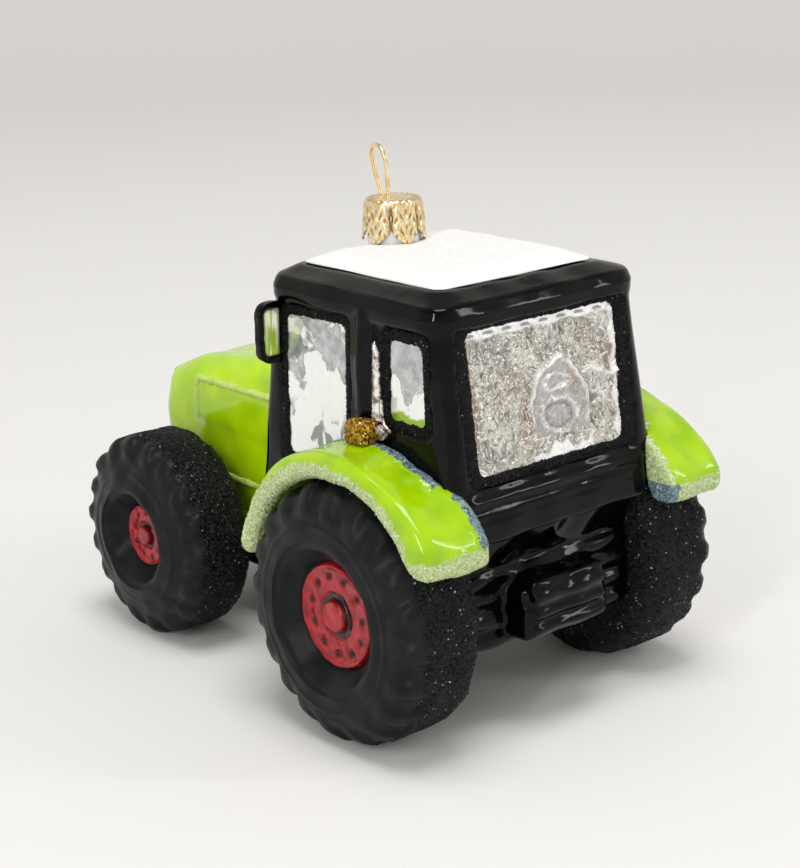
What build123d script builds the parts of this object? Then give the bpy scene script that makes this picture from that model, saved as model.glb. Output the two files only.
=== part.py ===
from build123d import *
from math import cos, hypot, pi, radians, sin, tan
import os

# A blown-glass hanging ornament in the form of a farm tractor, with its crown cap and wire hanger.
# Millimetres. X points forward, Y to the tractor's left, Z up, and the floor is at Z = 0.
# The origin is on the floor under the middle of the outline. Distances called "ahead" are
# measured forward from the rear axle.

# Wheels, moulded in one with the figure, so that none of them turns
wheelbase = 68.5
rear_radius = 24.0
rear_width = 18.3
rear_span = 79.0            # over both rear tyres
rear_shoulder = 6.0         # round of the tread's outer edge between the lugs
rear_mouth = 14.2           # radius of the dish where it opens
rear_hub_radius = 9.8
rear_sink = 3.6             # hub face below the sidewall
rear_bulge = 0.5            # sidewall's lip outside its shoulder
rear_lugs = 20
front_radius = 20.8
front_width = 17.2
front_span = 71.0           # over both front tyres
front_shoulder = 4.2
front_mouth = 10.6
front_hub_radius = 6.4
front_sink = 4.0
front_bulge = 1.7
front_lugs = 18
tyre_inner_round = 4.5      # round of the edge that faces the chassis
lug_share = 0.6             # round over the lugs, as a share of the round between them
lug_inner_share = 0.78      # inner end of a lug, as a share of the tyre's radius
lug_slant = 18.0            # degrees off the radius

# Hubs, each seated in the dish of its tyre
hub_clearance = 1.0         # dish floor round the hub
hub_thickness = 3.0
hub_cap_share = 0.33        # centre cap, as a share of the hub's radius
hub_cap_rise = 1.3
hub_ring_share = 0.12       # groove round the centre cap
bolt_share = 0.095          # dimples for the bolts
bolt_count = 10
bolt_depth = 0.7

# Chassis
chassis_half = 12.6
chassis_floor = 12.0
axle_housing_radius = 11.5
axle_housing_back = 15.3    # flat back of the housing, behind the rear axle
axle_housing_floor = 15.8
axle_rib_radius = 1.7
axle_ribs = 4
front_axle_height = 9.0
front_axle_length = 12.0
hitch_half = 10.4
hitch_back = 20.8           # behind the rear axle
hitch_floor = 17.6
hitch_top = 27.4
hitch_ribs = 3
hitch_rib_radius = 1.2
hitch_lip = 1.5
hitch_root = 12.0           # front end of the hitch block, behind the rear axle
tub_back = 15.6             # lower end of the cab underside's rear face, behind the rear axle
tub_sag = 7.0               # cab underside above the axle's centre
tub_slope = 4.0             # run of the cab underside's front slope

# Bonnet
bonnet_half = 14.5
bonnet_floor = 31.0
bonnet_nose = 88.0          # ahead of the rear axle
bonnet_top_rear = 61.0
bonnet_top_front = 54.0
bonnet_brow = 75.0          # where the top line turns down to the nose
bonnet_edge_round = 5.5
nose_slope = 2.5            # nose face behind its foremost line, at the top
nose_tuck = 2.0             # nose face behind its foremost line, at the bottom
nose_drop = 4.0             # from the brow to the top of the nose face
nose_height = 12.0          # from the brow to the foremost line
skirt_inset = 1.2           # lower bonnet inside the upper one
skirt_front = 84.0
skirt_floor = 18.0
panel_rise = 0.7
panel_rear = 44.0
panel_front = 71.5
panel_floor = 41.6
panel_top = 50.8
panel_round = 1.5
grille_half = 9.0
grille_depth = 1.6
grille_frame = 1.0
grille_bars = 6
grille_floor = 34.0
grille_top = 44.5
headlamp_radius = 2.2
headlamp_half = 9.0         # off the centre line
headlamp_height = 47.4
headlamp_rise = 0.8
headlamp_depth = 5.0
weight_half = 8.0
weight_front = 88.5
weight_floor = 15.0
weight_top = 26.0
weight_slots = 5
weight_gap = 0.8
weight_gap_depth = 2.0

# Cab: a hollow box whose four walls lean in towards the roof
cab_floor = 38.0
cab_top = 78.4
cab_rear_low = -20.2
cab_rear_high = -15.6
cab_front_low = 36.5
cab_front_high = 31.8
cab_half_low = 25.6
cab_half_high = 24.4
cab_corner = 3.0            # round of the upright corners at the foot
cab_corner_high = 4.6       # and at the roof
cab_wall = 2.2
arch_clearance = 0.3        # between the cab's wheel arch and the tyre's inner side
apron_height = 4.0          # plate along the foot of the rear wall
apron_rise = 0.9
sill_ribs = 2               # beads between the apron and the rear window
sill_rib_radius = 0.9
sill_rib_pitch = 2.3
pane_sink = 0.7             # pane below the face of the wall
pane_thickness = 1.2
pane_round = 1.8
post_width = 4.2
post_proud = 1.2
post_ahead = 3.8
post_rise = 19.0            # foot above the cab's floor
post_drop = 1.9             # head below the cab's top

# Window openings; each sill is a rise above the cab's floor, each head a drop below its top
rear_pane_rise = 10.0
rear_pane_drop = 2.2
rear_pane_low = 20.3        # half widths, at the sill and at the head
rear_pane_high = 20.6
screen_rise = 25.5
screen_drop = 2.4
screen_low = 20.0
screen_high = 19.6
door_rise = 6.8
door_drop = 3.4
door_slant = 0.7            # front end of the head below its rear end
door_front = 28.0           # ahead of the rear axle
door_rear = 7.7
quarter_rise = 18.8
quarter_drop = 3.8
quarter_front = -1.2
quarter_rear = -14.3
quarter_lean = 1.2          # rear end of the head ahead of that of the sill

# Roof: a rounded black rim round a domed white panel
eave_overhang = 0.2
eave_height = 1.4
eave_round = 1.1
roof_rise = 2.8             # edge of the white panel above the cab's top
roof_side_in = 4.6          # black rim between the eave and the white panel
roof_front_in = 2.6
roof_dome_in = 5.0
roof_panel_rise = 2.1
roof_panel_corner = 2.6

# Mirrors on the front pillars
mirror_ahead = 27.5
mirror_drop = 3.4           # top below the cab's top
mirror_height = 11.5
mirror_inner = 23.0
mirror_outer = 29.6
mirror_round = 2.4
mirror_depth = 1.9
mirror_rim = 1.2
mirror_sink = 0.5

# Rear fenders: sheets that follow the tyres
fender_gap = 1.0            # between the tyre and the fender
fender_thickness = 4.7
fender_front_thickness = 3.4
fender_outer = 36.6         # half width over both fenders
fender_inner = 22.5
fender_front_angle = 12.0   # degrees above the axle's level
fender_crest_angle = 112.0  # where the top turns to the straight tail
fender_tail_angle = 149.0   # lower end of the tail
fender_overreach = 2.0      # tail behind the tyre
fender_tail_share = 1.725   # height of the tail's top, as a share of the tyre's radius
fender_tail_face = 5.0
fender_tail_bow = 1.8       # bulge of the tail's top
fender_end_round = 1.6      # corners of its outline seen from the side
fender_round = 1.5          # both edges along the outside
lamp_length = 5.8
lamp_width = 4.6
lamp_height = 4.8
lamp_ahead = 1.8
lamp_sink = 0.8             # part of the lamp's width that lies in the cab's wall
lamp_lift_share = 0.4       # centre above the fender's crest, as a share of its height
lamp_round_share = 0.3

# Neck, crown cap and wire hanger
neck_ahead = 24.0
neck_radius = 5.0
neck_wall = 0.8
cap_radius = 6.3
cap_wall = 0.5
cap_clearance = 0.2         # between the petals and the roof
cap_height = 7.9
cap_edge_round = 0.8
cap_petals = 6
cap_notch = 5.4             # width of the notch between two petals
cap_notch_height = 3.6
cap_taper = 0.7
wire_radius = 0.44
wire_hole_clearance = 0.25
leg_spread = 3.2            # between the two legs, on centres
leg_length = 15.0           # below the cap's top
loop_height = 10.3          # above the cap's top, on the wire's centre line
loop_half = 4.0
loop_round = 3.1
leg_round = 2.0
hanger_turn = 164.4         # degrees about Z, direction of the hinge line through the two holes
hanger_offset = 1.6         # both holes off the cap's centre, towards the left
hanger_lean = 8.0           # degrees towards the left side of the tractor

# Places worked out from the sizes above
fender_reach = rear_radius + fender_overreach
fender_tail_top = fender_tail_share * rear_radius
rear_reach = max(fender_reach, hitch_back + hitch_lip)
front_reach = max(front_radius + wheelbase, weight_front, bonnet_nose)
rear_x = (rear_reach - front_reach) / 2
front_x = rear_x + wheelbase
rear_inner = rear_span / 2 - rear_width
front_inner = front_span / 2 - front_width
cab_height = cab_top - cab_floor
roof_top = cab_top + roof_rise
roof_panel_top = roof_top + roof_panel_rise
cap_foot = roof_panel_top + cap_clearance
cap_top = cap_foot + cap_height


def ahead(distance):
    """X of a place that lies this far ahead of the rear axle."""
    return rear_x + distance


def side_plate(points, half):
    """Plate with a side outline of (ahead, height) points, both sides of the centre line."""
    outline = make_face(Polyline(*[(ahead(x), z) for x, z in points], close=True))
    return extrude(Plane.XZ * outline, half, both=True)


def block(x0, x1, half, z0, z1):
    """Box between two places ahead of the rear axle and two heights."""
    return Pos(ahead((x0 + x1) / 2), 0, (z0 + z1) / 2) * Box(x1 - x0, 2 * half, z1 - z0)


def crossbar(radius, length):
    """Cylinder along Y, centred."""
    return Rot(90, 0, 0) * Cylinder(radius, length)


def left_and_right(parts, name, left):
    """Store a left-hand piece and its mirror image under two names."""
    parts[name + "_left"] = left
    parts[name + "_right"] = mirror(left, about=Plane.XZ)


# ---------------------------------------------------------------- wheels

def tyre_outline(radius, width, shoulder, mouth, bulge):
    """Half section of a tyre as (radius, Y) lines and arcs, its outer face at +Y."""
    half = width / 2
    face = half - bulge
    bend = shoulder * (1 - cos(radians(45)))
    inner_bend = tyre_inner_round * (1 - cos(radians(45)))
    return [
        Line((0, -half), (radius - tyre_inner_round, -half)),
        ThreePointArc((radius - tyre_inner_round, -half), (radius - inner_bend, inner_bend - half),
                      (radius, tyre_inner_round - half)),
        Line((radius, tyre_inner_round - half), (radius, face - shoulder)),
        ThreePointArc((radius, face - shoulder), (radius - bend, face - bend), (radius - shoulder, face)),
        Line((radius - shoulder, face), (mouth, half)),
        Line((mouth, half), (0, half)),
        Line((0, half), (0, -half)),
    ]


def tyre(radius, width, shoulder, mouth, bulge, hub_radius, sink, lugs):
    """Closed tyre about the Y axis, dished on its outer side, with slanted lugs on the shoulder."""
    carcass = revolve(make_face(tyre_outline(radius, width, shoulder, mouth, bulge)), Axis.Y)
    over_lugs = revolve(make_face(
        tyre_outline(radius, width, lug_share * shoulder, mouth, bulge)), Axis.Y)
    inner = lug_inner_share * radius
    outer = radius + tyre_inner_round
    pad = pi * radius / lugs
    lean = tan(radians(lug_slant)) * (outer - inner)
    corners = [
        (inner, -0.3 * pad), (inner, 0.3 * pad), (outer, 0.5 * pad + lean), (outer, -0.5 * pad + lean)]
    lug = extrude(Plane.XZ * make_face(Polyline(*corners, close=True)), shoulder + bulge)
    lug = Pos(0, width / 2, 0) * lug
    pads = over_lugs & Part(children=[Rot(0, 360 * i / lugs, 0) * lug for i in range(lugs)])
    floor_radius = hub_radius + hub_clearance
    dish = revolve(make_face(Polyline(
        (0, width / 2 - sink), (floor_radius, width / 2 - sink), (mouth, width / 2),
        (mouth, width / 2 + sink), (0, width / 2 + sink), close=True)), Axis.Y)
    pocket = Pos(0, width / 2 - sink - hub_thickness / 2, 0) * crossbar(hub_radius, hub_thickness)
    return carcass + pads - dish - pocket


def hub(width, hub_radius, sink):
    """Wheel disc with a ring of dimples for the bolts and a ringed cap, facing +Y."""
    face = width / 2 - sink
    cap_radius = hub_cap_share * hub_radius
    groove_radius = cap_radius + hub_ring_share * hub_radius
    circle = (groove_radius + hub_radius) / 2
    body = Pos(0, face - hub_thickness / 2, 0) * crossbar(hub_radius, hub_thickness)
    body += Pos(0, face + hub_cap_rise / 2, 0) * crossbar(cap_radius, hub_cap_rise)
    body -= Pos(0, face, 0) * (crossbar(groove_radius, hub_cap_rise) - crossbar(cap_radius, hub_cap_rise))
    for i in range(bolt_count):
        turn = 2 * pi * i / bolt_count
        dimple = crossbar(bolt_share * hub_radius, 2 * bolt_depth)
        body -= Pos(circle * cos(turn), face, circle * sin(turn)) * dimple
    return body


def wheels(parts):
    rows = [  # name, ahead, radius, width, span, shoulder, mouth, bulge, hub radius, sink, lugs
        ("rear", 0, rear_radius, rear_width, rear_span, rear_shoulder, rear_mouth, rear_bulge,
         rear_hub_radius, rear_sink, rear_lugs),
        ("front", wheelbase, front_radius, front_width, front_span, front_shoulder, front_mouth, front_bulge,
         front_hub_radius, front_sink, front_lugs),
    ]
    for row in rows:
        name, x, radius, width, span, shoulder, mouth, bulge, hub_radius, sink, lugs = row
        place = Pos(ahead(x), (span - width) / 2, radius)
        body = tyre(radius, width, shoulder, mouth, bulge, hub_radius, sink, lugs)
        left_and_right(parts, "tyre_" + name, place * body)
        left_and_right(parts, "hub_" + name, place * hub(width, hub_radius, sink))


# ---------------------------------------------------------------- chassis

def chassis(parts):
    axle = Pos(ahead(0), 0, rear_radius) * crossbar(axle_housing_radius, 2 * rear_inner)
    axle += block(-axle_housing_back, 0, rear_inner, axle_housing_floor, rear_radius + tub_sag)
    pitch = (rear_radius + tub_sag - axle_housing_floor) / axle_ribs
    for i in range(axle_ribs):
        centre = Pos(ahead(-axle_housing_back), 0, axle_housing_floor + (i + 0.5) * pitch)
        axle += centre * crossbar(axle_rib_radius, 2 * rear_inner)
    spine = side_plate([
        (0, chassis_floor), (skirt_front, chassis_floor), (skirt_front, skirt_floor),
        (cab_front_low, skirt_floor), (cab_front_low, cab_floor), (0, cab_floor)], chassis_half)
    tub = side_plate([
        (cab_rear_low + cab_wall, cab_floor), (-tub_back, rear_radius + tub_sag),
        (axle_housing_radius, rear_radius + tub_sag),
        (axle_housing_radius + tub_slope, cab_floor)], rear_inner)
    beam = Pos(front_x, 0, front_radius) * Box(front_axle_length, 2 * front_inner, front_axle_height)
    parts["rear_axle"] = axle
    parts["front_axle"] = beam
    parts["chassis"] = spine - axle - beam - tub
    parts["cab_underside"] = tub - axle

    drawbar = block(-hitch_back, -hitch_root, hitch_half, hitch_floor, hitch_top)
    shelf_floor = hitch_top - 2 * hitch_lip
    drawbar += block(-hitch_back - hitch_lip, -hitch_root, hitch_half - hitch_lip,
                     shelf_floor, hitch_top + hitch_lip)
    step = (shelf_floor - hitch_floor) / hitch_ribs
    for i in range(hitch_ribs):
        centre = Pos(ahead(-hitch_back), 0, hitch_floor + (i + 0.5) * step)
        drawbar += centre * crossbar(hitch_rib_radius, 2 * hitch_half)
    parts["rear_hitch"] = drawbar - tub - axle


# ---------------------------------------------------------------- cab walls

def cab_block(inset=0.0):
    """Closed box of the cab, or its inside when inset is the wall."""
    low = Pos(ahead((cab_front_low + cab_rear_low) / 2), 0, cab_floor) * RectangleRounded(
        cab_front_low - cab_rear_low - 2 * inset, 2 * (cab_half_low - inset), cab_corner - inset)
    high = Pos(ahead((cab_front_high + cab_rear_high) / 2), 0, cab_top) * RectangleRounded(
        cab_front_high - cab_rear_high - 2 * inset, 2 * (cab_half_high - inset), cab_corner_high - inset)
    return loft([low, high])


def wall_plane(foot, lean, along):
    """Plane on a leaning wall: origin at its foot, X along it, Z out of it."""
    up = Vector(lean[0], lean[1], cab_height).normalized()
    out = Vector(*along).cross(up)
    return Plane(origin=foot, x_dir=along, z_dir=out)


rear_wall = wall_plane((ahead(cab_rear_low), 0, cab_floor), (cab_rear_high - cab_rear_low, 0), (0, -1, 0))
front_wall = wall_plane((ahead(cab_front_low), 0, cab_floor), (cab_front_high - cab_front_low, 0), (0, 1, 0))
left_wall = wall_plane((ahead(0), cab_half_low, cab_floor), (0, cab_half_high - cab_half_low), (-1, 0, 0))


def on_wall(wall, height):
    """Place on a wall's middle line at a height above the floor."""
    return wall.origin + wall.y_dir * ((height - cab_floor) / wall.y_dir.Z)


def window_outline(wall, corners):
    """Rounded window on a wall, from (along, height above the floor) corners."""
    flat = [(along, (z - cab_floor) / wall.y_dir.Z) for along, z in corners]
    outline = make_face(Polyline(*flat, close=True))
    return wall * fillet(outline.vertices(), pane_round)


def pane_corners(low, high, rise, drop, slant=0.0):
    """Corners from (start, end) along the wall at the sill and at the head."""
    sill = cab_floor + rise
    head = cab_top - drop
    return [(low[0], sill), (low[1], sill), (high[1], head), (high[0], head - slant)]


windows = [  # name, wall, corners as (along the wall, height), mirrored to the other side
    ("rear_window", rear_wall, pane_corners(
        (-rear_pane_low, rear_pane_low), (-rear_pane_high, rear_pane_high),
        rear_pane_rise, rear_pane_drop), False),
    ("windscreen", front_wall, pane_corners(
        (-screen_low, screen_low), (-screen_high, screen_high), screen_rise, screen_drop), False),
    ("door_window", left_wall, pane_corners(
        (-door_front, -door_rear), (-door_front, -door_rear), door_rise, door_drop, door_slant), True),
    ("quarter_window", left_wall, pane_corners(
        (-quarter_front, -quarter_rear), (-quarter_front, -quarter_rear - quarter_lean),
        quarter_rise, quarter_drop), True),
]


def wheel_arches(wall=0.0):
    """Room for both rear tyres, or that room with the arch's own wall round it."""
    inner = rear_inner - arch_clearance - wall
    radius = rear_radius + fender_gap + wall
    left = Pos(ahead(0), inner + rear_width / 2, rear_radius) * crossbar(radius, rear_width)
    return left + mirror(left, about=Plane.XZ)


def cab(parts):
    above_floor = block(cab_rear_low, cab_front_low, cab_half_low, cab_floor + cab_wall, cab_top)
    arches = wheel_arches(cab_wall)
    hollow = (cab_block(cab_wall) & above_floor) - arches
    shell = cab_block() - hollow - wheel_arches()
    for name, wall, corners, both in windows:
        outline = window_outline(wall, corners)
        opening = extrude(outline, -2 * cab_wall) - arches
        pane = Pos(*(wall.z_dir * -pane_sink)) * extrude(outline, -pane_thickness) - arches
        shell -= opening
        if both:
            shell -= mirror(opening, about=Plane.XZ)
            left_and_right(parts, name, pane)
        else:
            parts[name] = pane
    apron_top = cab_floor + apron_height
    lean = (cab_rear_high - cab_rear_low) / cab_height * apron_height
    apron = side_plate([
        (cab_rear_low - apron_rise, cab_floor), (cab_rear_low + lean - apron_rise, apron_top),
        (cab_rear_low + lean, apron_top), (cab_rear_low, cab_floor)], cab_half_high - cab_corner)
    shell += apron
    for i in range(sill_ribs):
        centre = on_wall(rear_wall, apron_top + (i + 0.5) * sill_rib_pitch)
        rib = Pos(*centre) * crossbar(sill_rib_radius, 2 * (cab_half_high - cab_corner))
        shell += rib - cab_block(cab_wall)
    parts["cab_frame"] = shell

    length = cab_height - post_rise - post_drop
    foot = on_wall(left_wall, cab_floor + post_rise) + Vector(post_ahead, 0, 0)
    foot += left_wall.z_dir * (post_proud - post_width / 2)
    bar = Plane(origin=foot, x_dir=left_wall.x_dir, z_dir=left_wall.y_dir) * Pos(0, 0, length / 2)
    left_and_right(parts, "side_post", bar * Cylinder(post_width / 2, length) - cab_block())


# ---------------------------------------------------------------- bonnet

def bonnet(parts):
    hood = side_plate([
        (cab_front_high, bonnet_floor), (bonnet_nose - nose_tuck, bonnet_floor),
        (bonnet_nose, bonnet_top_front - nose_height),
        (bonnet_nose - nose_slope, bonnet_top_front - nose_drop),
        (bonnet_brow, bonnet_top_front), (cab_front_high, bonnet_top_rear)], bonnet_half)
    edges = hood.edges().filter_by(
        lambda e: abs(e.center().Y) > bonnet_half / 2 and e.center().Z > bonnet_floor + 1
        and e.center().X > ahead(cab_front_low))
    hood = fillet(edges, bonnet_edge_round) - cab_block()
    hood -= block(cab_front_high - cab_wall, cab_front_low, bonnet_half, bonnet_floor, cab_floor)
    grille_back = bonnet_nose - nose_tuck - grille_depth
    recess = block(grille_back, bonnet_nose + 1, grille_half, grille_floor, grille_top)
    frame = recess & hood
    hood -= recess
    pitch = (grille_top - grille_floor) / grille_bars
    slots = [
        block(grille_back + grille_depth / 2, bonnet_nose + 1, grille_half - grille_frame,
              grille_floor + (i + 0.25) * pitch, grille_floor + (i + 0.75) * pitch)
        for i in range(grille_bars)]
    parts["grille"] = frame - Part(children=slots)

    lamp = Pos(ahead(bonnet_nose - nose_slope + headlamp_rise - headlamp_depth / 2), headlamp_half,
               headlamp_height) * Rot(0, 90, 0) * Cylinder(headlamp_radius, headlamp_depth)
    hood -= lamp
    hood -= mirror(lamp, about=Plane.XZ)
    left_and_right(parts, "headlamp", lamp)

    panel = RectangleRounded(panel_front - panel_rear, panel_top - panel_floor, panel_round)
    panel = Rot(90, 0, 0) * extrude(panel, panel_rise, both=True)
    panel = Pos(ahead((panel_rear + panel_front) / 2), bonnet_half, (panel_floor + panel_top) / 2) * panel
    left_and_right(parts, "bonnet_panel", panel - hood)
    parts["bonnet"] = hood

    skirt = block(cab_front_low, skirt_front, bonnet_half - skirt_inset, skirt_floor, bonnet_floor)
    parts["bonnet_skirt"] = skirt - parts["front_axle"]
    weight = block(skirt_front, weight_front, weight_half, weight_floor, weight_top)
    pitch = 2 * weight_half / weight_slots
    for i in range(1, weight_slots):
        weight -= Pos(ahead(weight_front), i * pitch - weight_half, (weight_floor + weight_top) / 2) * Box(
            2 * weight_gap_depth, weight_gap, weight_top - weight_floor)
    parts["front_weight"] = weight


# ---------------------------------------------------------------- roof

def roof_outline(height, grow, front_grow, corner):
    """Outline of the cab's top at a height, grown at the rear and sides and, by its own step, in front."""
    rear = cab_rear_high - grow
    front = cab_front_high + front_grow
    return Pos(ahead((front + rear) / 2), 0, height) * RectangleRounded(
        front - rear, 2 * (cab_half_high + grow), corner)


def roof(parts):
    bore = Pos(ahead(neck_ahead), 0, cap_top) * Cylinder(neck_radius, 4 * (cap_top - cab_top))
    belt = extrude(roof_outline(cab_top, eave_overhang, eave_overhang, cab_corner_high), eave_height)
    belt = fillet(belt.faces().sort_by(Axis.Z)[-1].edges(), eave_round)
    edge = eave_overhang - eave_round
    rim = roof_outline(roof_top, -roof_side_in, -roof_front_in, roof_panel_corner)
    crown = loft([roof_outline(cab_top + eave_height, edge, edge, cab_corner_high - eave_round), rim])
    parts["roof"] = belt + crown - bore
    ridge = roof_outline(roof_panel_top, -roof_side_in - roof_dome_in, -roof_front_in - roof_dome_in,
                         roof_panel_corner)
    parts["roof_panel"] = loft([rim, ridge]) - bore
    length = cap_top - cap_wall - cab_top
    tube = Cylinder(neck_radius, length) - Cylinder(neck_radius - neck_wall, length)
    parts["neck"] = Pos(ahead(neck_ahead), 0, cab_top + length / 2) * tube


# ---------------------------------------------------------------- mirrors, fenders and lamps

def mirrors(parts):
    width = mirror_outer - mirror_inner
    middle = (ahead(mirror_ahead), (mirror_inner + mirror_outer) / 2,
              cab_top - mirror_drop - mirror_height / 2)
    face = Plane(origin=middle, x_dir=(0, -1, 0), z_dir=(-1, 0, 0))
    case = extrude(face * RectangleRounded(width, mirror_height, mirror_round), -mirror_depth)
    inside = RectangleRounded(
        width - 2 * mirror_rim, mirror_height - 2 * mirror_rim, mirror_round - mirror_rim)
    dish = extrude(face * inside, -3 * mirror_sink)
    glass = dish & Pos(mirror_sink, 0, 0) * dish
    left_and_right(parts, "mirror_frame", case - cab_block() - dish)
    left_and_right(parts, "mirror_glass", glass - cab_block())


def fenders(parts):
    inner = rear_radius + fender_gap
    outer = inner + fender_thickness

    def at(radius, angle):
        return (ahead(radius * cos(radians(angle))), rear_radius + radius * sin(radians(angle)))

    front_tip = at(inner + fender_front_thickness, fender_front_angle)
    tail_top = (ahead(-fender_reach), fender_tail_top)
    tail_foot = (ahead(-fender_reach), fender_tail_top - fender_tail_face)
    crest = at(outer, fender_crest_angle)
    run, fall = crest[0] - tail_top[0], crest[1] - tail_top[1]
    bow = fender_tail_bow / hypot(run, fall)
    tail_middle = ((crest[0] + tail_top[0]) / 2 - bow * fall, (crest[1] + tail_top[1]) / 2 + bow * run)
    outline = make_face([
        Line(at(inner, fender_front_angle), front_tip),
        ThreePointArc(front_tip, at(outer, (fender_front_angle + fender_crest_angle) / 2), crest),
        ThreePointArc(crest, tail_middle, tail_top),
        Line(tail_top, tail_foot),
        Line(tail_foot, at(inner, fender_tail_angle)),
        ThreePointArc(at(inner, fender_tail_angle),
                      at(inner, (fender_front_angle + fender_tail_angle) / 2), at(inner, fender_front_angle)),
    ])
    outline = fillet(outline.vertices(), fender_end_round)
    sheet = Pos(0, fender_outer, 0) * extrude(Plane.XZ * outline, fender_outer - fender_inner)
    rim = sheet.faces().sort_by(Axis.Y)[-1].edges()
    sheet = fillet(rim, fender_round) - cab_block()
    lamp_centre = (ahead(lamp_ahead), cab_half_low + lamp_width / 2 - lamp_sink,
                   rear_radius + outer + lamp_lift_share * lamp_height)
    lamp = Pos(*lamp_centre) * Box(lamp_length, lamp_width, lamp_height)
    lamp = fillet(lamp.edges(), lamp_round_share * lamp_width)
    lamp = lamp - cab_block() - sheet - parts["side_post_left"]
    left_and_right(parts, "fender", sheet)
    left_and_right(parts, "fender_lamp", lamp)


# ---------------------------------------------------------------- cap and hanger

def cap_and_hanger(parts):
    centre = ahead(neck_ahead)
    flare = cap_radius - cap_taper
    can = loft([Pos(0, 0, cap_foot) * Circle(cap_radius), Pos(0, 0, cap_top) * Circle(flare)])
    can = fillet(can.faces().sort_by(Axis.Z)[-1].edges(), cap_edge_round)
    shell = can - loft([Pos(0, 0, cap_foot) * Circle(cap_radius - cap_wall),
                        Pos(0, 0, cap_top - cap_wall) * Circle(flare - cap_wall)])
    notch = Plane.YZ * make_face(Polyline(
        (-cap_notch / 2, cap_foot - cap_wall), (cap_notch / 2, cap_foot - cap_wall),
        (0, cap_foot + cap_notch_height), close=True))
    for i in range(cap_petals):
        shell -= Rot(0, 0, hanger_turn + 360 * (i + 0.5) / cap_petals) * extrude(notch, 2 * cap_radius)
    for side in (-1, 1):
        place = Rot(0, 0, hanger_turn) * Pos(side * leg_spread / 2, -hanger_offset, cap_top)
        shell -= place * Cylinder(wire_radius + wire_hole_clearance, 4 * cap_wall)
    parts["cap"] = Pos(centre, 0, 0) * shell

    half = leg_spread / 2
    route = FilletPolyline(
        (-half, -leg_length), (-half, cap_wall), (-loop_half, loop_height), (loop_half, loop_height),
        (half, cap_wall), (half, -leg_length), radius=[leg_round, loop_round, loop_round, leg_round])
    route = Plane.XZ * route
    start = Plane(origin=route @ 0, z_dir=route % 0)
    wire = sweep(start * Circle(wire_radius), path=route)
    pivot = Pos(centre, 0, cap_top - cap_wall / 2) * Rot(0, 0, hanger_turn) * Pos(0, -hanger_offset, 0)
    parts["hanger"] = pivot * Rot(hanger_lean, 0, 0) * wire


def main():
    parts = {}
    wheels(parts)
    chassis(parts)
    cab(parts)
    bonnet(parts)
    roof(parts)
    mirrors(parts)
    fenders(parts)
    cap_and_hanger(parts)
    os.makedirs("parts", exist_ok=True)
    for name, shape in parts.items():
        export_step(shape, f"parts/{name}.step")
        box = shape.bounding_box()
        print(f"{name:22s} {len(shape.solids())} solid  {shape.volume:9.1f} mm3  "
              f"X {box.min.X:.1f}..{box.max.X:.1f}  Y {box.min.Y:.1f}..{box.max.Y:.1f}  "
              f"Z {box.min.Z:.1f}..{box.max.Z:.1f}")


main()
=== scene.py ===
"""Blown-glass tractor ornament: lacquer, glitter, silvered panes, crown cap and wire loop."""
import math

import bmesh
import bpy
import numpy as np
from mathutils import Matrix, Vector, geometry


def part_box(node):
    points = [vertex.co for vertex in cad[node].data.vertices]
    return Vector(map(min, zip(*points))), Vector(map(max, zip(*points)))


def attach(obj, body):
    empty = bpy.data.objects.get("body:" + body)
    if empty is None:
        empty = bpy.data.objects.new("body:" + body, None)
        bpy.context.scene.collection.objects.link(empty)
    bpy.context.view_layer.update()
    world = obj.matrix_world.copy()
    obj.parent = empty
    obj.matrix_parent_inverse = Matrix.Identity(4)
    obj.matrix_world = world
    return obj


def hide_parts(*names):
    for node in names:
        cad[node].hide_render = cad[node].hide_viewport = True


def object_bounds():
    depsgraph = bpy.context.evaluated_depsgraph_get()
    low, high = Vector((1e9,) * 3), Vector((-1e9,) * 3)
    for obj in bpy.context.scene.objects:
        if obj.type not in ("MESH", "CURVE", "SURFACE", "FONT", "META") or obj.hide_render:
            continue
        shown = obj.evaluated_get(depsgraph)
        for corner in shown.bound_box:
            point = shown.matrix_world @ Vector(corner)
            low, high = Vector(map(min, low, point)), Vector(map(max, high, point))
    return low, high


MM = 0.001
TAU = 2 * math.pi
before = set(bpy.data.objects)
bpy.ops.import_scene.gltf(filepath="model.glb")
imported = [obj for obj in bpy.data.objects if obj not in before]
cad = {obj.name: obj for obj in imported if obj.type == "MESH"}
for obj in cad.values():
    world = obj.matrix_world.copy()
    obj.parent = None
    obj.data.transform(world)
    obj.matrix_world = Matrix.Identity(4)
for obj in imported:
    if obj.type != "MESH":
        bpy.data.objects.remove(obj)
cad_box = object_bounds()
SIDES = (("left", 1), ("right", -1))


def box_mm(node):
    """Low and high corner of a CAD node in millimetres."""
    return [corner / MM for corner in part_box(node)]


rear_axle = sum(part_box("hub_rear_left"), Vector()) / 2


# --- node helpers

def srgb(red, green, blue):
    """Linear colour of an sRGB triple of 0 to 255."""
    def one(value):
        value /= 255
        return value / 12.92 if value <= 0.04045 else ((value + 0.055) / 1.055) ** 2.4
    return (one(red), one(green), one(blue), 1.0)


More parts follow.
